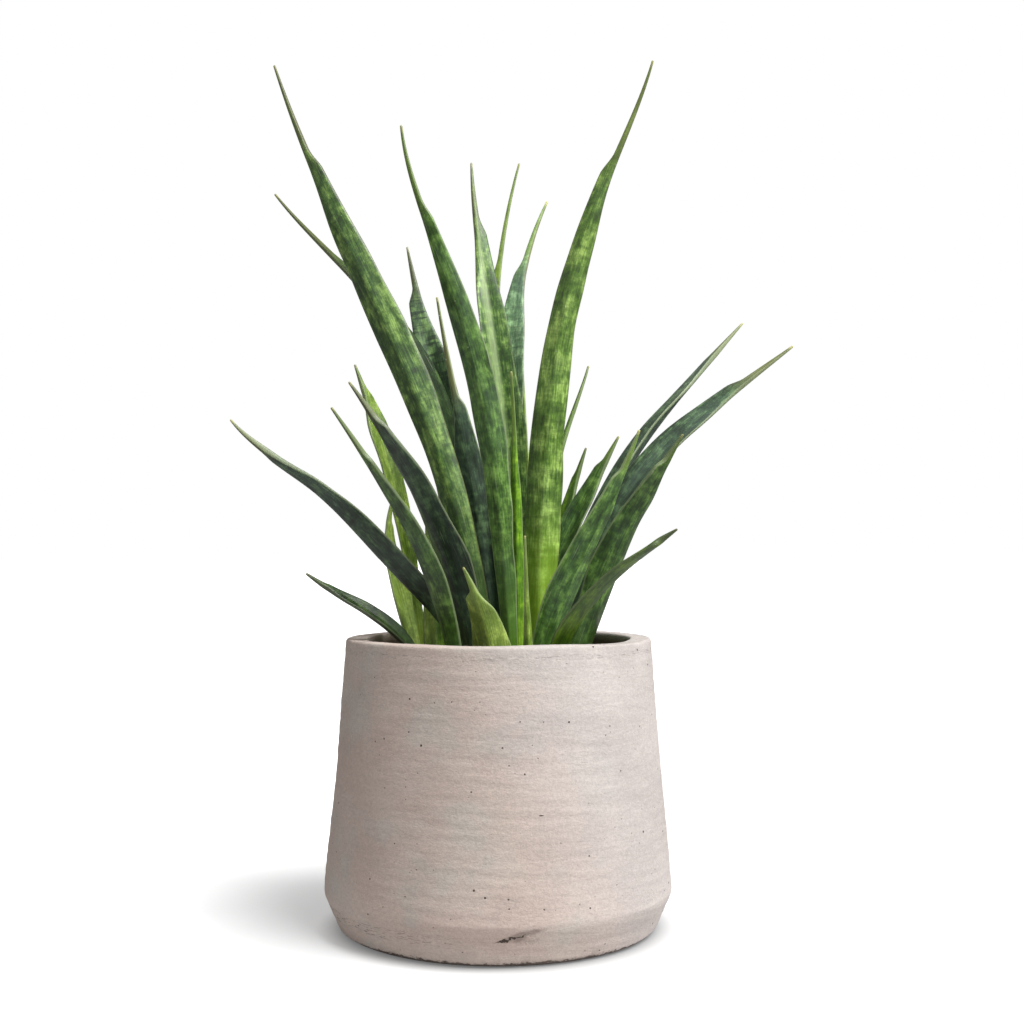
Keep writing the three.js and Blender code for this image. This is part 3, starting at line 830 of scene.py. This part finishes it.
def pot_profile():
    """The pot's section in mm, and how much of the outside's unevenness each point takes. It runs from
    the middle of the foot up the outside, over the rim and down to the middle of the floor inside."""
    lip = POT_HEIGHT - RIM_ROUND
    inner = RIM_RADIUS - WALL
    below = SOIL_LEVEL - 4
    bend = FLOOR + FLOOR_ROUND
    deep = outer_radius(bend) - WALL
    outside = path(
        (10, 0),
        (5, (FOOT_RADIUS - FOOT_ROUND, 0)),
        (6, (FOOT_RADIUS, 0), (FOOT_RADIUS + FOOT_ROUND, FOOT_ROUND)),
        (13, (CHAMFER_RADIUS, CHAMFER_TOP)),
        (9, (BELLY_RADIUS, CHAMFER_TOP + CHAMFER_EASE), (BELLY_RADIUS, BELLY_HEIGHT)),
        (112, (outer_radius(lip), lip)),
        (6, (RIM_RADIUS, POT_HEIGHT), (RIM_RADIUS - RIM_ROUND, POT_HEIGHT)),
        (6, (inner + RIM_ROUND, POT_HEIGHT)),
    )
    inside = path(
        (inner + RIM_ROUND, POT_HEIGHT),
        (6, (inner, POT_HEIGHT), (outer_radius(lip) - WALL, lip)),
        (20, (outer_radius(below) - WALL, below)),
        (6, (deep, bend)),
        (4, (deep, FLOOR), (deep - FLOOR_ROUND, FLOOR)),
        (4, (5, FLOOR)),
    )
    uneven = np.concatenate([ease(0, FOOT_ROUND, outside[:, 1]), ease(SOIL_LEVEL, lip, inside[:, 1])])
    return np.concatenate([outside, inside]), uneven


def pot_rings(pot):
    """The pot in mm: its profile turned about the upright axis, then moved along its own outward
    direction by slow unevenness, fine level ripples, a nibbled foot and one chip at the front."""
    profile, uneven = pot_profile()
    slope = np.gradient(profile, axis=0)
    outward = unit(np.stack([slope[:, 1], -slope[:, 0]], -1))
    angle = circle(pot.around)
    points, normals = turned(profile, angle), turned(outward, angle)
    radius, height = profile[:, 0, None], profile[:, 1, None]
    slow = swell(points, *SLOW_SWELL) * pot.unevenness
    fine = swell(points, *RIPPLE_SWELL) * pot.ripple
    foot = np.exp(-((height - NIBBLE_HEIGHT) / NIBBLE_REACH) ** 2) * ease(*NIBBLE_RADII, radius)
    nibble = foot * np.maximum(0, swell(points, *NIBBLE_SWELL) - NIBBLE_LEVEL)
    chip = chip_mask(points, pot)
    move = uneven[:, None] * (slow + fine) - nibble * pot.nibble - chip * pot.chip_depth
    marks = {"pot_wear": vectors(chip, 0.0, 0.0)}
    return points + move[..., None] / MM * normals, marks


def chip_mask(points, pot):
    """0 to 1 over a slanted, ragged patch at the front of the chamfer."""
    x = (np.arctan2(points[..., 0], -points[..., 1]) - pot.chip_angle) * BELLY_RADIUS
    z = points[..., 2] - pot.chip_height / MM - CHIP_SLANT * x
    reach = np.hypot(x / CHIP_REACH[0], z / CHIP_REACH[1]) + CHIP_FRAY * swell(points, *CHIP_SWELL)
    outside = np.hypot(points[..., 0], points[..., 1]) > CHAMFER_RADIUS - WALL
    return (1 - ease(*CHIP_EDGE, reach)) * outside


def clay_noise(tree, name, place):
    """One of the pot's noises."""
    size, seed, detail = CLAY_NOISES[name]
    return grain(tree, Vector=place, Size=size, Seed=seed, Detail=detail)


def clay_material(pot):
    """Fibre clay: a warm grey body with faint clouds of pink and grey-green, with painted light that makes
    it lighter and greyer towards the top and the lit right side, wavy level streaks and hairs, lumps and
    sand. Over it lie small dark pits, pores and dashes, a ragged line under the rim, ragged dark patches on
    the chamfer that are partly scuffs and partly painted shade towards the shaded left, a ragged painted
    contact shadow along the bottom of the foot, a crack with a worn patch, and a damp inside wall."""
    material, tree, shader = new_material("Fibre clay")
    body = object_place(tree)
    x, _, z = parts_of(tree, body)
    cloud, tint, lump, sand = (clay_noise(tree, name, body) for name in ("cloud", "tint", "lump", "sand"))
    drift = add(tree, "CombineXYZ", 0.0, 0.0, weighed(tree, (cloud, 0.008), (x, 0.03))).outputs[0]
    wavy = vector_sum(tree, "ADD", body, drift)
    streak, hair = (clay_noise(tree, name, wavy) for name in ("streak", "hair"))

    # Painted light: the clay gets lighter and greyer towards the lit right side and the top.
    paler = weighed(tree, (x, 1.0), (z, 0.4), (cloud, 0.06))
    colour = layered(
        tree, pot.colour,
        (step(tree, cloud, 0.35, 0.65), pot.pink),
        (step(tree, tint, 0.48, 0.68, 0.0, 0.7), pot.grey),
        (step(tree, paler, 0.05, 0.13, 0.0, 0.85), pot.pale),
    )
    worn, crack = chip_marks(tree, body, sand, pot)
    colour = shaded(
        tree, colour,
        (cloud, 0.35, 0.65, 1.05, 0.94),
        # Painted light: lighter towards the top.
        (z, 0.04, 0.15, 1.0, 1.1),
        (streak, 0.3, 0.7, 1 - pot.streaks, 1 + pot.streaks),
        (hair, 0.3, 0.7, 0.975, 1.025),
        (lump, 0.3, 0.7, 0.94, 1.06),
        (sand, 0.25, 0.75, 0.91, 1.09),
        (worn, 0.0, 1.0, 1.0, 0.8),
    )

    flat = vector_sum(tree, "MULTIPLY", body, (0.28, 0.28, 1.0))
    pits = specks(tree, Vector=body, Spacing=0.0065, Radius=0.075, Chance=0.45)
    pores = specks(tree, Vector=body, Spacing=0.0028, Radius=0.13, Chance=0.16)
    dashes = specks(tree, Vector=flat, Spacing=0.006, Radius=0.055, Chance=0.2)
    pores = reckon(tree, "MULTIPLY", pores, step(tree, cloud, 0.45, 0.55, 0.2, 0.9))
    pits = reckon(tree, "MAXIMUM", pits, dashes, pores)
    chip = parts_of(tree, read_mark(tree, "pot_wear"))[0]
    lip = reckon(tree, "MULTIPLY", step(tree, hair, 0.55, 0.65, 0.0, 0.4),
                 band_of(tree, z, POT_HEIGHT - 7, POT_HEIGHT - 4.5))
    # Ragged dark patches on the chamfer: partly scuffs, partly painted shade that grows towards the shaded
    # left.
    scuff_and_shade = reckon(tree, "MULTIPLY", step(tree, hair, 0.52, 0.66), band_of(tree, z, 10, CHAMFER_TOP + 2),
                   step(tree, x, 0.02, -0.08, 0.1, 0.6))
    # Painted contact shadow: a ragged dark line along the bottom of the foot.
    painted_foot_shadow = step(tree, weighed(tree, (z, 1.0), (lump, -0.006)), 0.0001, -0.0011, 0.0, 0.85)
    holes = reckon(tree, "MULTIPLY", reckon(tree, "MAXIMUM", pits, crack), 0.95)
    dark = reckon(tree, "MAXIMUM", reckon(tree, "MULTIPLY", chip, 0.4), lip, scuff_and_shade, painted_foot_shadow, holes)

    wall = (RIM_RADIUS - WALL) * MM
    inside = step(tree, distance(tree, vector_sum(tree, "MULTIPLY", body, (1, 1, 0))),
                  wall + 0.0035, wall + 0.0012)
    below = step(tree, z, POT_HEIGHT * MM - 0.0008, POT_HEIGHT * MM - 0.006)
    damp = reckon(tree, "MULTIPLY", inside, below, 0.85)
    height = weighed(tree, (sand, 0.5), (lump, 1.0), (streak, 0.7), (pits, -1.5), (crack, -2.0))
    fill(tree, shader, {
        "Base Color": layered(tree, colour, (dark, pot.pit_colour), (damp, pot.damp)),
        "Roughness": 0.85,
        "Specular IOR Level": 0.3,
        "Normal": relief(tree, height, 0.0005, 0.5),
    })
    return material


def band_of(tree, value, low, high):
    """1 between two heights in mm, with soft ends."""
    rise = step(tree, value, (low - 0.8) * MM, (low + 0.8) * MM)
    fall = step(tree, value, (high + 0.8) * MM, (high - 0.8) * MM)
    return reckon(tree, "MULTIPLY", rise, fall)


def chip_marks(tree, body, sand, pot):
    """The chip's worn patch and its crack. The crack climbs to the right in a wavering line whose width
    tapers to both ends, and the patch is an oval below it."""
    aside = (math.sin(pot.chip_angle) * CHAMFER_RADIUS * MM, -math.cos(pot.chip_angle) * CHAMFER_RADIUS * MM)
    shift = vector_sum(tree, "SUBTRACT", body, (*aside, pot.chip_height))
    x, y, z = parts_of(tree, vector_sum(tree, "MULTIPLY", shift, (1 / MM,) * 3))
    waver = clay_noise(tree, "waver", body)
    line = weighed(tree, (x, -CRACK_SLANT), (waver, 5.0), (z, 1.0))
    off = reckon(tree, "ABSOLUTE", reckon(tree, "SUBTRACT", line, CRACK_RISE))
    reach = reckon(tree, "POWER", reckon(tree, "DIVIDE", x, CRACK_REACH), 2.0)
    taper = reckon(tree, "SUBTRACT", 1.0, reach)
    width = weighed(tree, (taper, 0.5), (sand, 0.9), (x, -0.09))
    crack = step(tree, reckon(tree, "SUBTRACT", off, width), -0.35, -0.75)
    squares = (reckon(tree, "POWER", weighed(tree, (value, 1 / half), (1.0, -middle / half)), 2.0)
               for value, (middle, half) in zip((x, z), WORN_OVAL))
    oval = reckon(tree, "ADD", *squares)
    worn = step(tree, weighed(tree, (oval, 1.0), (waver, 2.0), (sand, 1.5)), 2.8, 1.6)
    front = step(tree, y, 20.0, 12.0)
    return reckon(tree, "MULTIPLY", worn, front), reckon(tree, "MULTIPLY", crack, front)


# Potting mix


def crumbs(points, soil):
    """How far the ground rises at each point, in mm: three sizes of swell."""
    flat = points * np.array([1, 1, 0])
    return sum(share * swell(flat, *sizes) for share, sizes in CRUMB_SWELLS) * soil.crumb / MM


def soil_rings(soil):
    """The potting mix in mm: an uneven disc at the top, then down the wall and in across the floor.
    The last value is the disc's radius."""
    wall = outer_radius(SOIL_LEVEL) - WALL - SOIL_GAP
    deep = outer_radius(FLOOR + FLOOR_ROUND) - WALL - SOIL_GAP
    bottom = FLOOR + SOIL_GAP
    profile = path(
        (0.8, SOIL_LEVEL),
        (soil.rows, (wall, SOIL_LEVEL)),
        (4, (deep, bottom + FLOOR_ROUND)),
        (4, (deep, bottom), (deep - FLOOR_ROUND, bottom)),
        (3, (2, bottom)),
    )
    points = turned(profile, circle(soil.around))
    top = (profile[:, 1, None] == SOIL_LEVEL) * (1 - ease(wall - 6, wall, profile[:, 0, None]))
    points[..., 2] += top * crumbs(points, soil)
    return points, wall


def leaf_feet():
    """Places in mm where leaves pass through the ground, with the half-width of each."""
    feet = []
    for leaf in LEAVES.values():
        place = midrib(leaf, FOOT_SHARES)[0]
        near = place[:, 2] < SOIL_LEVEL + FOOT_REACH
        feet.append(np.column_stack([place[near, :2], half_width(leaf, FOOT_SHARES, 1)[near]]))
    return np.concatenate(feet)


def ball_points():
    """A ball of radius 1: rings of points from the top down, then its top and bottom."""
    polar = BALL_RINGS[:, None]
    turn = circle(BALL_AROUND)
    rings = vectors(np.sin(polar) * np.cos(turn), np.sin(polar) * np.sin(turn), np.cos(polar))
    return np.concatenate([rings.reshape(-1, 3), [[0, 0, 1], [0, 0, -1]]])


def ball_faces(number):
    """The four-sided faces and triangles of that many balls, one after another, facing outwards."""
    quads, fans = ring_faces(len(BALL_RINGS), BALL_AROUND)
    shift = (np.arange(number) * len(ball_points()))[:, None, None]
    quads, fans = np.roll(quads[:, ::-1], 1, 1) + shift, fans[:, ::-1] + shift
    return quads.reshape(-1, 4), fans.reshape(-1, 3)


def random_turns(draw, count, tilt):
    """Turning matrices: a drawn turn about the upright, a lean, and another turn about the upright."""
    first, lean, second = (draw.uniform(0, most, count) for most in (2 * math.pi, tilt, 2 * math.pi))

    def turns(angle, i, j):
        matrices = np.tile(np.eye(3), (count, 1, 1))
        matrices[:, i, i] = matrices[:, j, j] = np.cos(angle)
        matrices[:, i, j] = -np.sin(angle)
        matrices[:, j, i] = np.sin(angle)
        return matrices

    return turns(second, 0, 1) @ turns(lean, 1, 2) @ turns(first, 0, 1)


def scattered(count, sizes, flatness, wall, seed, soil):
    """Bark or grit on the ground, in mm: lumpy flattened balls, turned and leaning at random, at drawn
    places clear of the leaves and the wall. The last value is a tone between 0 and 1 for each."""
    draw = np.random.default_rng(seed)
    tries = count * PLACES_PER_CRUMB
    place = draw.uniform(-wall, wall, (tries, 2))
    size = draw.uniform(*sizes, tries)
    feet = leaf_feet()
    gap = np.linalg.norm(place[:, None] - feet[None, :, :2], axis=-1) - feet[None, :, 2]
    clear = (gap.min(1) > size * 0.5 + 1) & (np.hypot(*place.T) < wall - size * 0.55 - 0.5)
    place, size = place[clear][:count], size[clear][:count]
    number = len(size)
    ball = ball_points()
    lumps = draw.uniform(*CRUMB_LUMPS, (number, len(ball), 1))
    width = draw.uniform(*CRUMB_WIDTHS, number)
    axes = np.column_stack([np.ones(number), width, np.full(number, flatness)])
    shape = ball * lumps * (size[:, None] / 2 * axes)[:, None]
    shape = np.einsum("nij,naj->nai", random_turns(draw, number, soil.tilt), shape)
    base = np.column_stack([place, np.full(number, float(SOIL_LEVEL))])
    base[:, 2] += crumbs(base, soil) + size * flatness * draw.uniform(*CRUMB_RISES, number)
    return shape + base[:, None], draw.uniform(0, 1, number)


def mix_material(soil):
    """Potting mix: dark peat with coarse bark in several browns and pale grit."""
    material, tree, shader = new_material("Potting mix")
    body = object_place(tree)
    tone, grit, bark = parts_of(tree, read_mark(tree, "soil_tone"))
    coarse, fine = (grain(tree, Vector=body, Size=(size,) * 3, Seed=seed)
                    for size, seed in ((0.005, 3.0), (0.0011, 6.0)))
    wood = mix(tree, tone, soil.brown, soil.bark_colour)
    peat = mix(tree, step(tree, coarse, 0.35, 0.65), soil.dark, soil.brown)
    colour = layered(tree, peat, (bark, wood), (grit, soil.grit_colour))
    fill(tree, shader, {
        "Base Color": shaded(tree, colour, (fine, 0.3, 0.7, 0.6, 1.25)),
        "Roughness": 0.95,
        "Specular IOR Level": 0.2,
        "Normal": relief(tree, fine, 0.0012, 0.8),
    })
    return material


# Settings


def whole(name, about, value):
    """A setting that is a whole number."""
    return IntProperty(name=name, description=about, default=value)


def amount(name, about, value, **kind):
    """A setting that is a number, of its own kind if it has a unit."""
    return FloatProperty(name=name, description=about, default=value, **kind)


def metres(name, about, value):
    """A setting that is a length in metres."""
    return amount(name, about, value, precision=5, unit="LENGTH")


def degrees(name, about, value):
    """A setting that is an angle, given in degrees."""
    return amount(name, about, math.radians(value), subtype="ANGLE")


def triple(name, about, value, subtype="COLOR"):
    """A setting that is a colour, or another row of three numbers."""
    return FloatVectorProperty(name=name, description=about, default=value, subtype=subtype)


class LeafSettings(bpy.types.PropertyGroup):
    """How finely the leaves are built, and the look of their skin."""

    around: whole("Points round", "Points round a leaf's section", 52)
    rings: whole("Rings", "Sections that every leaf has at least", 44)
    spacing: metres("Spacing", "Distance between further sections", 0.0032)
    margin_wave: metres("Margin wave", "How far the margins stray", 0.00028)
    ribs: metres("Ribs", "Height of the ribs under the leaf", 0.00008)
    rib_spacing: metres("Rib spacing", "Distance between two ribs", 0.0026)
    fold: amount("Fold", "Softness of the fold along the midrib, as a share", 0.15)
    mottle_width: metres("Mottle width", "Size of the mottles across", 0.0034)
    mottle_length: metres("Mottle length", "Size of the mottles along", 0.0075)
    flecks: amount("Flecks", "Contrast of the fine flecks", 0.18)
    threads: amount("Threads", "Contrast of the fine fibres", 0.15)
    roughness: amount("Roughness", "Roughness of the wax", 0.42)
    bloom_colour: triple("Bloom", "Colour of the grey bloom", paint(100, 120, 112))
    # Colour of the painted highlight beside the fold.
    highlight_colour: triple("Stripe", "Colour of the pale stripe beside the fold", paint(172, 196, 132))
    speck_colour: triple("Specks", "Colour of the pale specks", paint(196, 202, 178))
    tip_colour: triple("Tip", "Colour of the dry tip", paint(168, 164, 104))


class PotSettings(bpy.types.PropertyGroup):
    """How finely the pot is built, its wear and its colours."""

    around: whole("Points round", "Points round the pot", 480)
    unevenness: metres("Unevenness", "Slow swell of the wall", 0.0003)
    ripple: metres("Ripple", "Fine level ripples", 0.00008)
    nibble: metres("Nibble", "Depth of the breaks along the foot", 0.0006)
    chip_angle: degrees("Chip angle", "The chip's turn from the front", 7.4)
    chip_height: metres("Chip height", "The chip's height", 0.017)
    chip_depth: metres("Chip depth", "The chip's depth", 0.0004)
    colour: triple("Clay", "The body's colour", (0.488, 0.41, 0.364))
    pink: triple("Pink", "The pinkish clouds", (0.512, 0.408, 0.36))
    grey: triple("Grey", "The greenish-grey clouds", (0.458, 0.418, 0.376))
    # The tint of the painted light on the lit right side and the top.
    pale: triple("Pale", "The paler side", (0.5, 0.458, 0.438))
    streaks: amount("Streaks", "Contrast of the level streaks", 0.03)
    pit_colour: triple("Pits", "The pits and breaks", paint(54, 43, 36))
    damp: triple("Damp wall", "The wall above the potting mix", paint(96, 78, 64))


class SoilSettings(bpy.types.PropertyGroup):
    """How the potting mix is built, and its colours."""

    around: whole("Points round", "Points round the potting mix", 300)
    rows: whole("Rows", "Rows of points from the middle to the wall", 84)
    crumb: metres("Crumb", "Height of the uneven top", 0.0006)
    chips: whole("Bark chips", "How many chips of bark", 620)
    grains: whole("Grit", "How many pale grains", 260)
    tilt: degrees("Tilt", "The most that a crumb leans", 38)
    dark: triple("Peat", "The darkest part", paint(38, 28, 22))
    brown: triple("Brown", "The browner part", paint(66, 48, 36))
    bark_colour: triple("Bark", "The lightest bark", paint(122, 90, 64))
    grit_colour: triple("Grit colour", "The pale grains", paint(206, 202, 190))


class StageSettings(bpy.types.PropertyGroup):
    """The camera, the floor and the light."""

    eye: triple("Eye", "The camera's place", (0.0074, -0.773, 0.202), "TRANSLATION")
    rise: degrees("Rise", "How far the camera looks up", 1.56)
    focal: amount("Focal length", "In mm on a 36 mm sensor", 49.676)
    sun: amount("Sun", "Strength of the key light", 4.5)
    sun_turn: degrees("Sun's turn", "From the front towards the right", 57)
    sun_height: degrees("Sun's height", "Above the horizon", 50)
    sun_spread: degrees("Sun's spread", "How soft the key light is", 40)
    overhead: amount("Overhead", "Strength of the broad light from above", 0.2)
    fill: amount("Fill", "Strength of the broad light from the left and in front", 0.35)
    fill_turn: degrees("Fill's turn", "From the front towards the right", -28)
    fill_height: degrees("Fill's height", "Above the horizon", 40)
    broad_spread: degrees("Broad spread", "How soft the overhead and the fill are", 90)
    sky: amount("Sky", "Strength of the light from all round", 0.2)
    sheen: amount("Sheen", "Brightness of the room that glossy surfaces mirror", 0.45)
    bounce: amount("Bounce", "Light that the floor near the pot throws up at it", 0.12)
    glow_near: amount("Glow near", "Light that only the camera sees near the pot", 0.36)
    glow_far: amount("Glow far", "Light that only the camera sees farther away", 0.75)
    floor_size: metres("Floor", "The floor's width", 60.0)


class SansevieriaSettings(bpy.types.PropertyGroup):
    """All the settings of the add-on."""

    leaves: PointerProperty(type=LeafSettings)
    pot: PointerProperty(type=PotSettings)
    soil: PointerProperty(type=SoilSettings)
    stage: PointerProperty(type=StageSettings)


# Operators


class SANSEVIERIA_OT_leaves(bpy.types.Operator):
    """Build every leaf of the clump"""

    bl_idname = "sansevieria.leaves"
    bl_label = "Leaves"

    def execute(self, context):
        settings = context.scene.sansevieria.leaves
        first_seed, seed_step = LEAF_SEEDS
        for number, (name, leaf) in enumerate(LEAVES.items()):
            rings, marks, along = leaf_rings(leaf, first_seed + seed_step * number, settings)
            start = rings[0].mean(0)
            rings, marks, tip = round_tip(rings, marks, along)
            piece = closed_skin(name, rings * MM, np.stack([start, tip]) * MM, marks)
            material = leaf_material(name, leaf, SKIN_SEED * (number + 1), settings)
            settle(piece, f"leaf_{name}", material)
        return {"FINISHED"}


class SANSEVIERIA_OT_pot(bpy.types.Operator):
    """Build the fibre-clay pot"""

    bl_idname = "sansevieria.pot"
    bl_label = "Pot"

    def execute(self, context):
        settings = context.scene.sansevieria.pot
        rings, marks = pot_rings(settings)
        poles = np.array([[0, 0, 0], [0, 0, FLOOR]])
        piece = closed_skin("fibre_clay_pot", rings * MM, poles * MM, marks)
        settle(piece, "pot", clay_material(settings))
        return {"FINISHED"}


class SANSEVIERIA_OT_soil(bpy.types.Operator):
    """Fill the pot with potting mix, bark and grit"""

    bl_idname = "sansevieria.soil"
    bl_label = "Potting mix"

    def execute(self, context):
        settings = context.scene.sansevieria.soil
        ground, wall = soil_rings(settings)
        poles = np.array([[0, 0, SOIL_LEVEL], [0, 0, FLOOR + SOIL_GAP]])
        marks = {"soil_tone": np.zeros_like(ground)}
        material = mix_material(settings)
        settle(closed_skin("ground", ground * MM, poles * MM, marks), "soil", material)
        for count, (name, sizes, flatness, seed) in ((settings.chips, BARK), (settings.grains, GRIT)):
            balls, tone = scattered(count, sizes, flatness, wall, seed, settings)
            mark = np.zeros_like(balls) + (0.0, name == "grit", name == "bark")
            mark[..., 0] = tone[:, None]
            points = balls.reshape(-1, 3) * MM
            extra = new_object(name, points, *ball_faces(len(balls)), {"soil_tone": mark.reshape(-1, 3)})
            settle(extra, "soil", material)
        return {"FINISHED"}


class SANSEVIERIA_OT_stage(bpy.types.Operator):
    """Set up the floor, the light and the camera"""

    bl_idname = "sansevieria.stage"
    bl_label = "Stage"

    def execute(self, context):
        scene = context.scene
        settings = scene.sansevieria.stage
        scene.view_settings.view_transform = "Standard"
        self.add_floor(settings)
        self.add_lights(scene, settings)
        self.add_sky(scene, settings)
        self.add_camera(scene, settings)
        return {"FINISHED"}

    def add_floor(self, settings):
        """A wide floor. The camera sees it glow, brighter away from the pot, with a painted contact shadow
        right against the foot. For all other light it is grey, and throws a little up at the pot."""
        corners = settings.floor_size / 2 * np.array([[-1, -1, 0], [1, -1, 0], [1, 1, 0], [-1, 1, 0]])
        floor = new_object("floor", corners, np.array([[0, 1, 2, 3]]), np.zeros((0, 3), int), {})
        material, tree, shader = new_material("Floor")
        seen = add(tree, "LightPath").outputs["Is Camera Ray"]
        away = distance(tree, object_place(tree))
        # Painted contact shadow on the floor right against the foot.
        painted_contact_shadow = step(tree, away, 0.078, 0.1, 0.35, 1.0)
        grey = step(tree, away, 0.25, 0.5, 0.5, 0.12)
        lit = step(tree, away, 0.25, 0.5, settings.bounce, 0.0)
        glow = step(tree, away, 0.1, 0.24, settings.glow_near, settings.glow_far)
        fill(tree, shader, {
            "Base Color": step(tree, seen, 0.0, 1.0, grey, reckon(tree, "MULTIPLY", painted_contact_shadow, 0.55)),
            "Emission Color": (1.0, 1.0, 1.0),
            "Emission Strength": step(tree, seen, 0.0, 1.0, lit, reckon(tree, "MULTIPLY", painted_contact_shadow, glow)),
            "Roughness": 0.9,
        })
        floor.data.materials.append(material)

    def add_lights(self, scene, settings):
        """The soft key light from the right and a little in front, a broad one from above and a broad
        fill from the left and in front."""
        for name, energy, spread, height, turn in (
            ("Key", settings.sun, settings.sun_spread, settings.sun_height, settings.sun_turn),
            ("Overhead", settings.overhead, settings.broad_spread, math.pi / 2, 0),
            ("Fill", settings.fill, settings.broad_spread, settings.fill_height, settings.fill_turn),
        ):
            light = bpy.data.lights.new(name, "SUN")
            light.energy, light.angle = energy, spread
            lamp = bpy.data.objects.new(name, light)
            lamp.rotation_euler = (math.pi / 2 - height, 0, turn)
            scene.collection.objects.link(lamp)

    def add_sky(self, scene, settings):
        """Even light from all round, brighter where glossy surfaces mirror it. The camera sees it as
        white."""
        world = bpy.data.worlds.new("Sky")
        world.use_nodes = True
        tree = world.node_tree
        ray = add(tree, "LightPath").outputs
        mirrored = step(tree, ray["Is Glossy Ray"], 0.0, 1.0, settings.sky, settings.sheen)
        fill(tree, tree.nodes["Background"], {
            "Color": (1.0, 1.0, 1.0),
            "Strength": step(tree, ray["Is Camera Ray"], 0.0, 1.0, mirrored, 1.0),
        })
        scene.world = world

    def add_camera(self, scene, settings):
        """The camera, which looks along +Y and a little up."""
        lens = bpy.data.cameras.new("Camera")
        lens.sensor_width, lens.lens = 36, settings.focal
        lens.clip_start, lens.clip_end = 0.01, 100
        camera = bpy.data.objects.new("Camera", lens)
        camera.location = settings.eye
        camera.rotation_euler = (math.pi / 2 + settings.rise, 0, 0)
        scene.collection.objects.link(camera)
        scene.camera = camera


OPERATORS = (SANSEVIERIA_OT_stage, SANSEVIERIA_OT_pot, SANSEVIERIA_OT_soil, SANSEVIERIA_OT_leaves)


class SANSEVIERIA_PT_panel(bpy.types.Panel):
    """The settings, each group over the button that builds its pieces"""

    bl_label = "Sansevieria"
    bl_space_type = "VIEW_3D"
    bl_region_type = "UI"
    bl_category = "Sansevieria"

    def draw(self, context):
        settings = context.scene.sansevieria
        for group, operator in zip((settings.stage, settings.pot, settings.soil, settings.leaves), OPERATORS):
            box = self.layout.box()
            for name in group.bl_rna.properties.keys()[2:]:
                box.prop(group, name)
            box.operator(operator.bl_idname)


CLASSES = (LeafSettings, PotSettings, SoilSettings, StageSettings, SansevieriaSettings,
           *OPERATORS, SANSEVIERIA_PT_panel)


def register():
    """Adds the classes and the scene's settings."""
    for each in CLASSES:
        bpy.utils.register_class(each)
    bpy.types.Scene.sansevieria = PointerProperty(type=SansevieriaSettings)


def unregister():
    """Takes the settings and the classes away again."""
    del bpy.types.Scene.sansevieria
    for each in reversed(CLASSES):
        bpy.utils.unregister_class(each)


def main():
    """Builds everything."""
    register()
    bpy.ops.sansevieria.stage()
    bpy.ops.sansevieria.pot()
    bpy.ops.sansevieria.soil()
    bpy.ops.sansevieria.leaves()


if __name__ == "__main__":
    main()
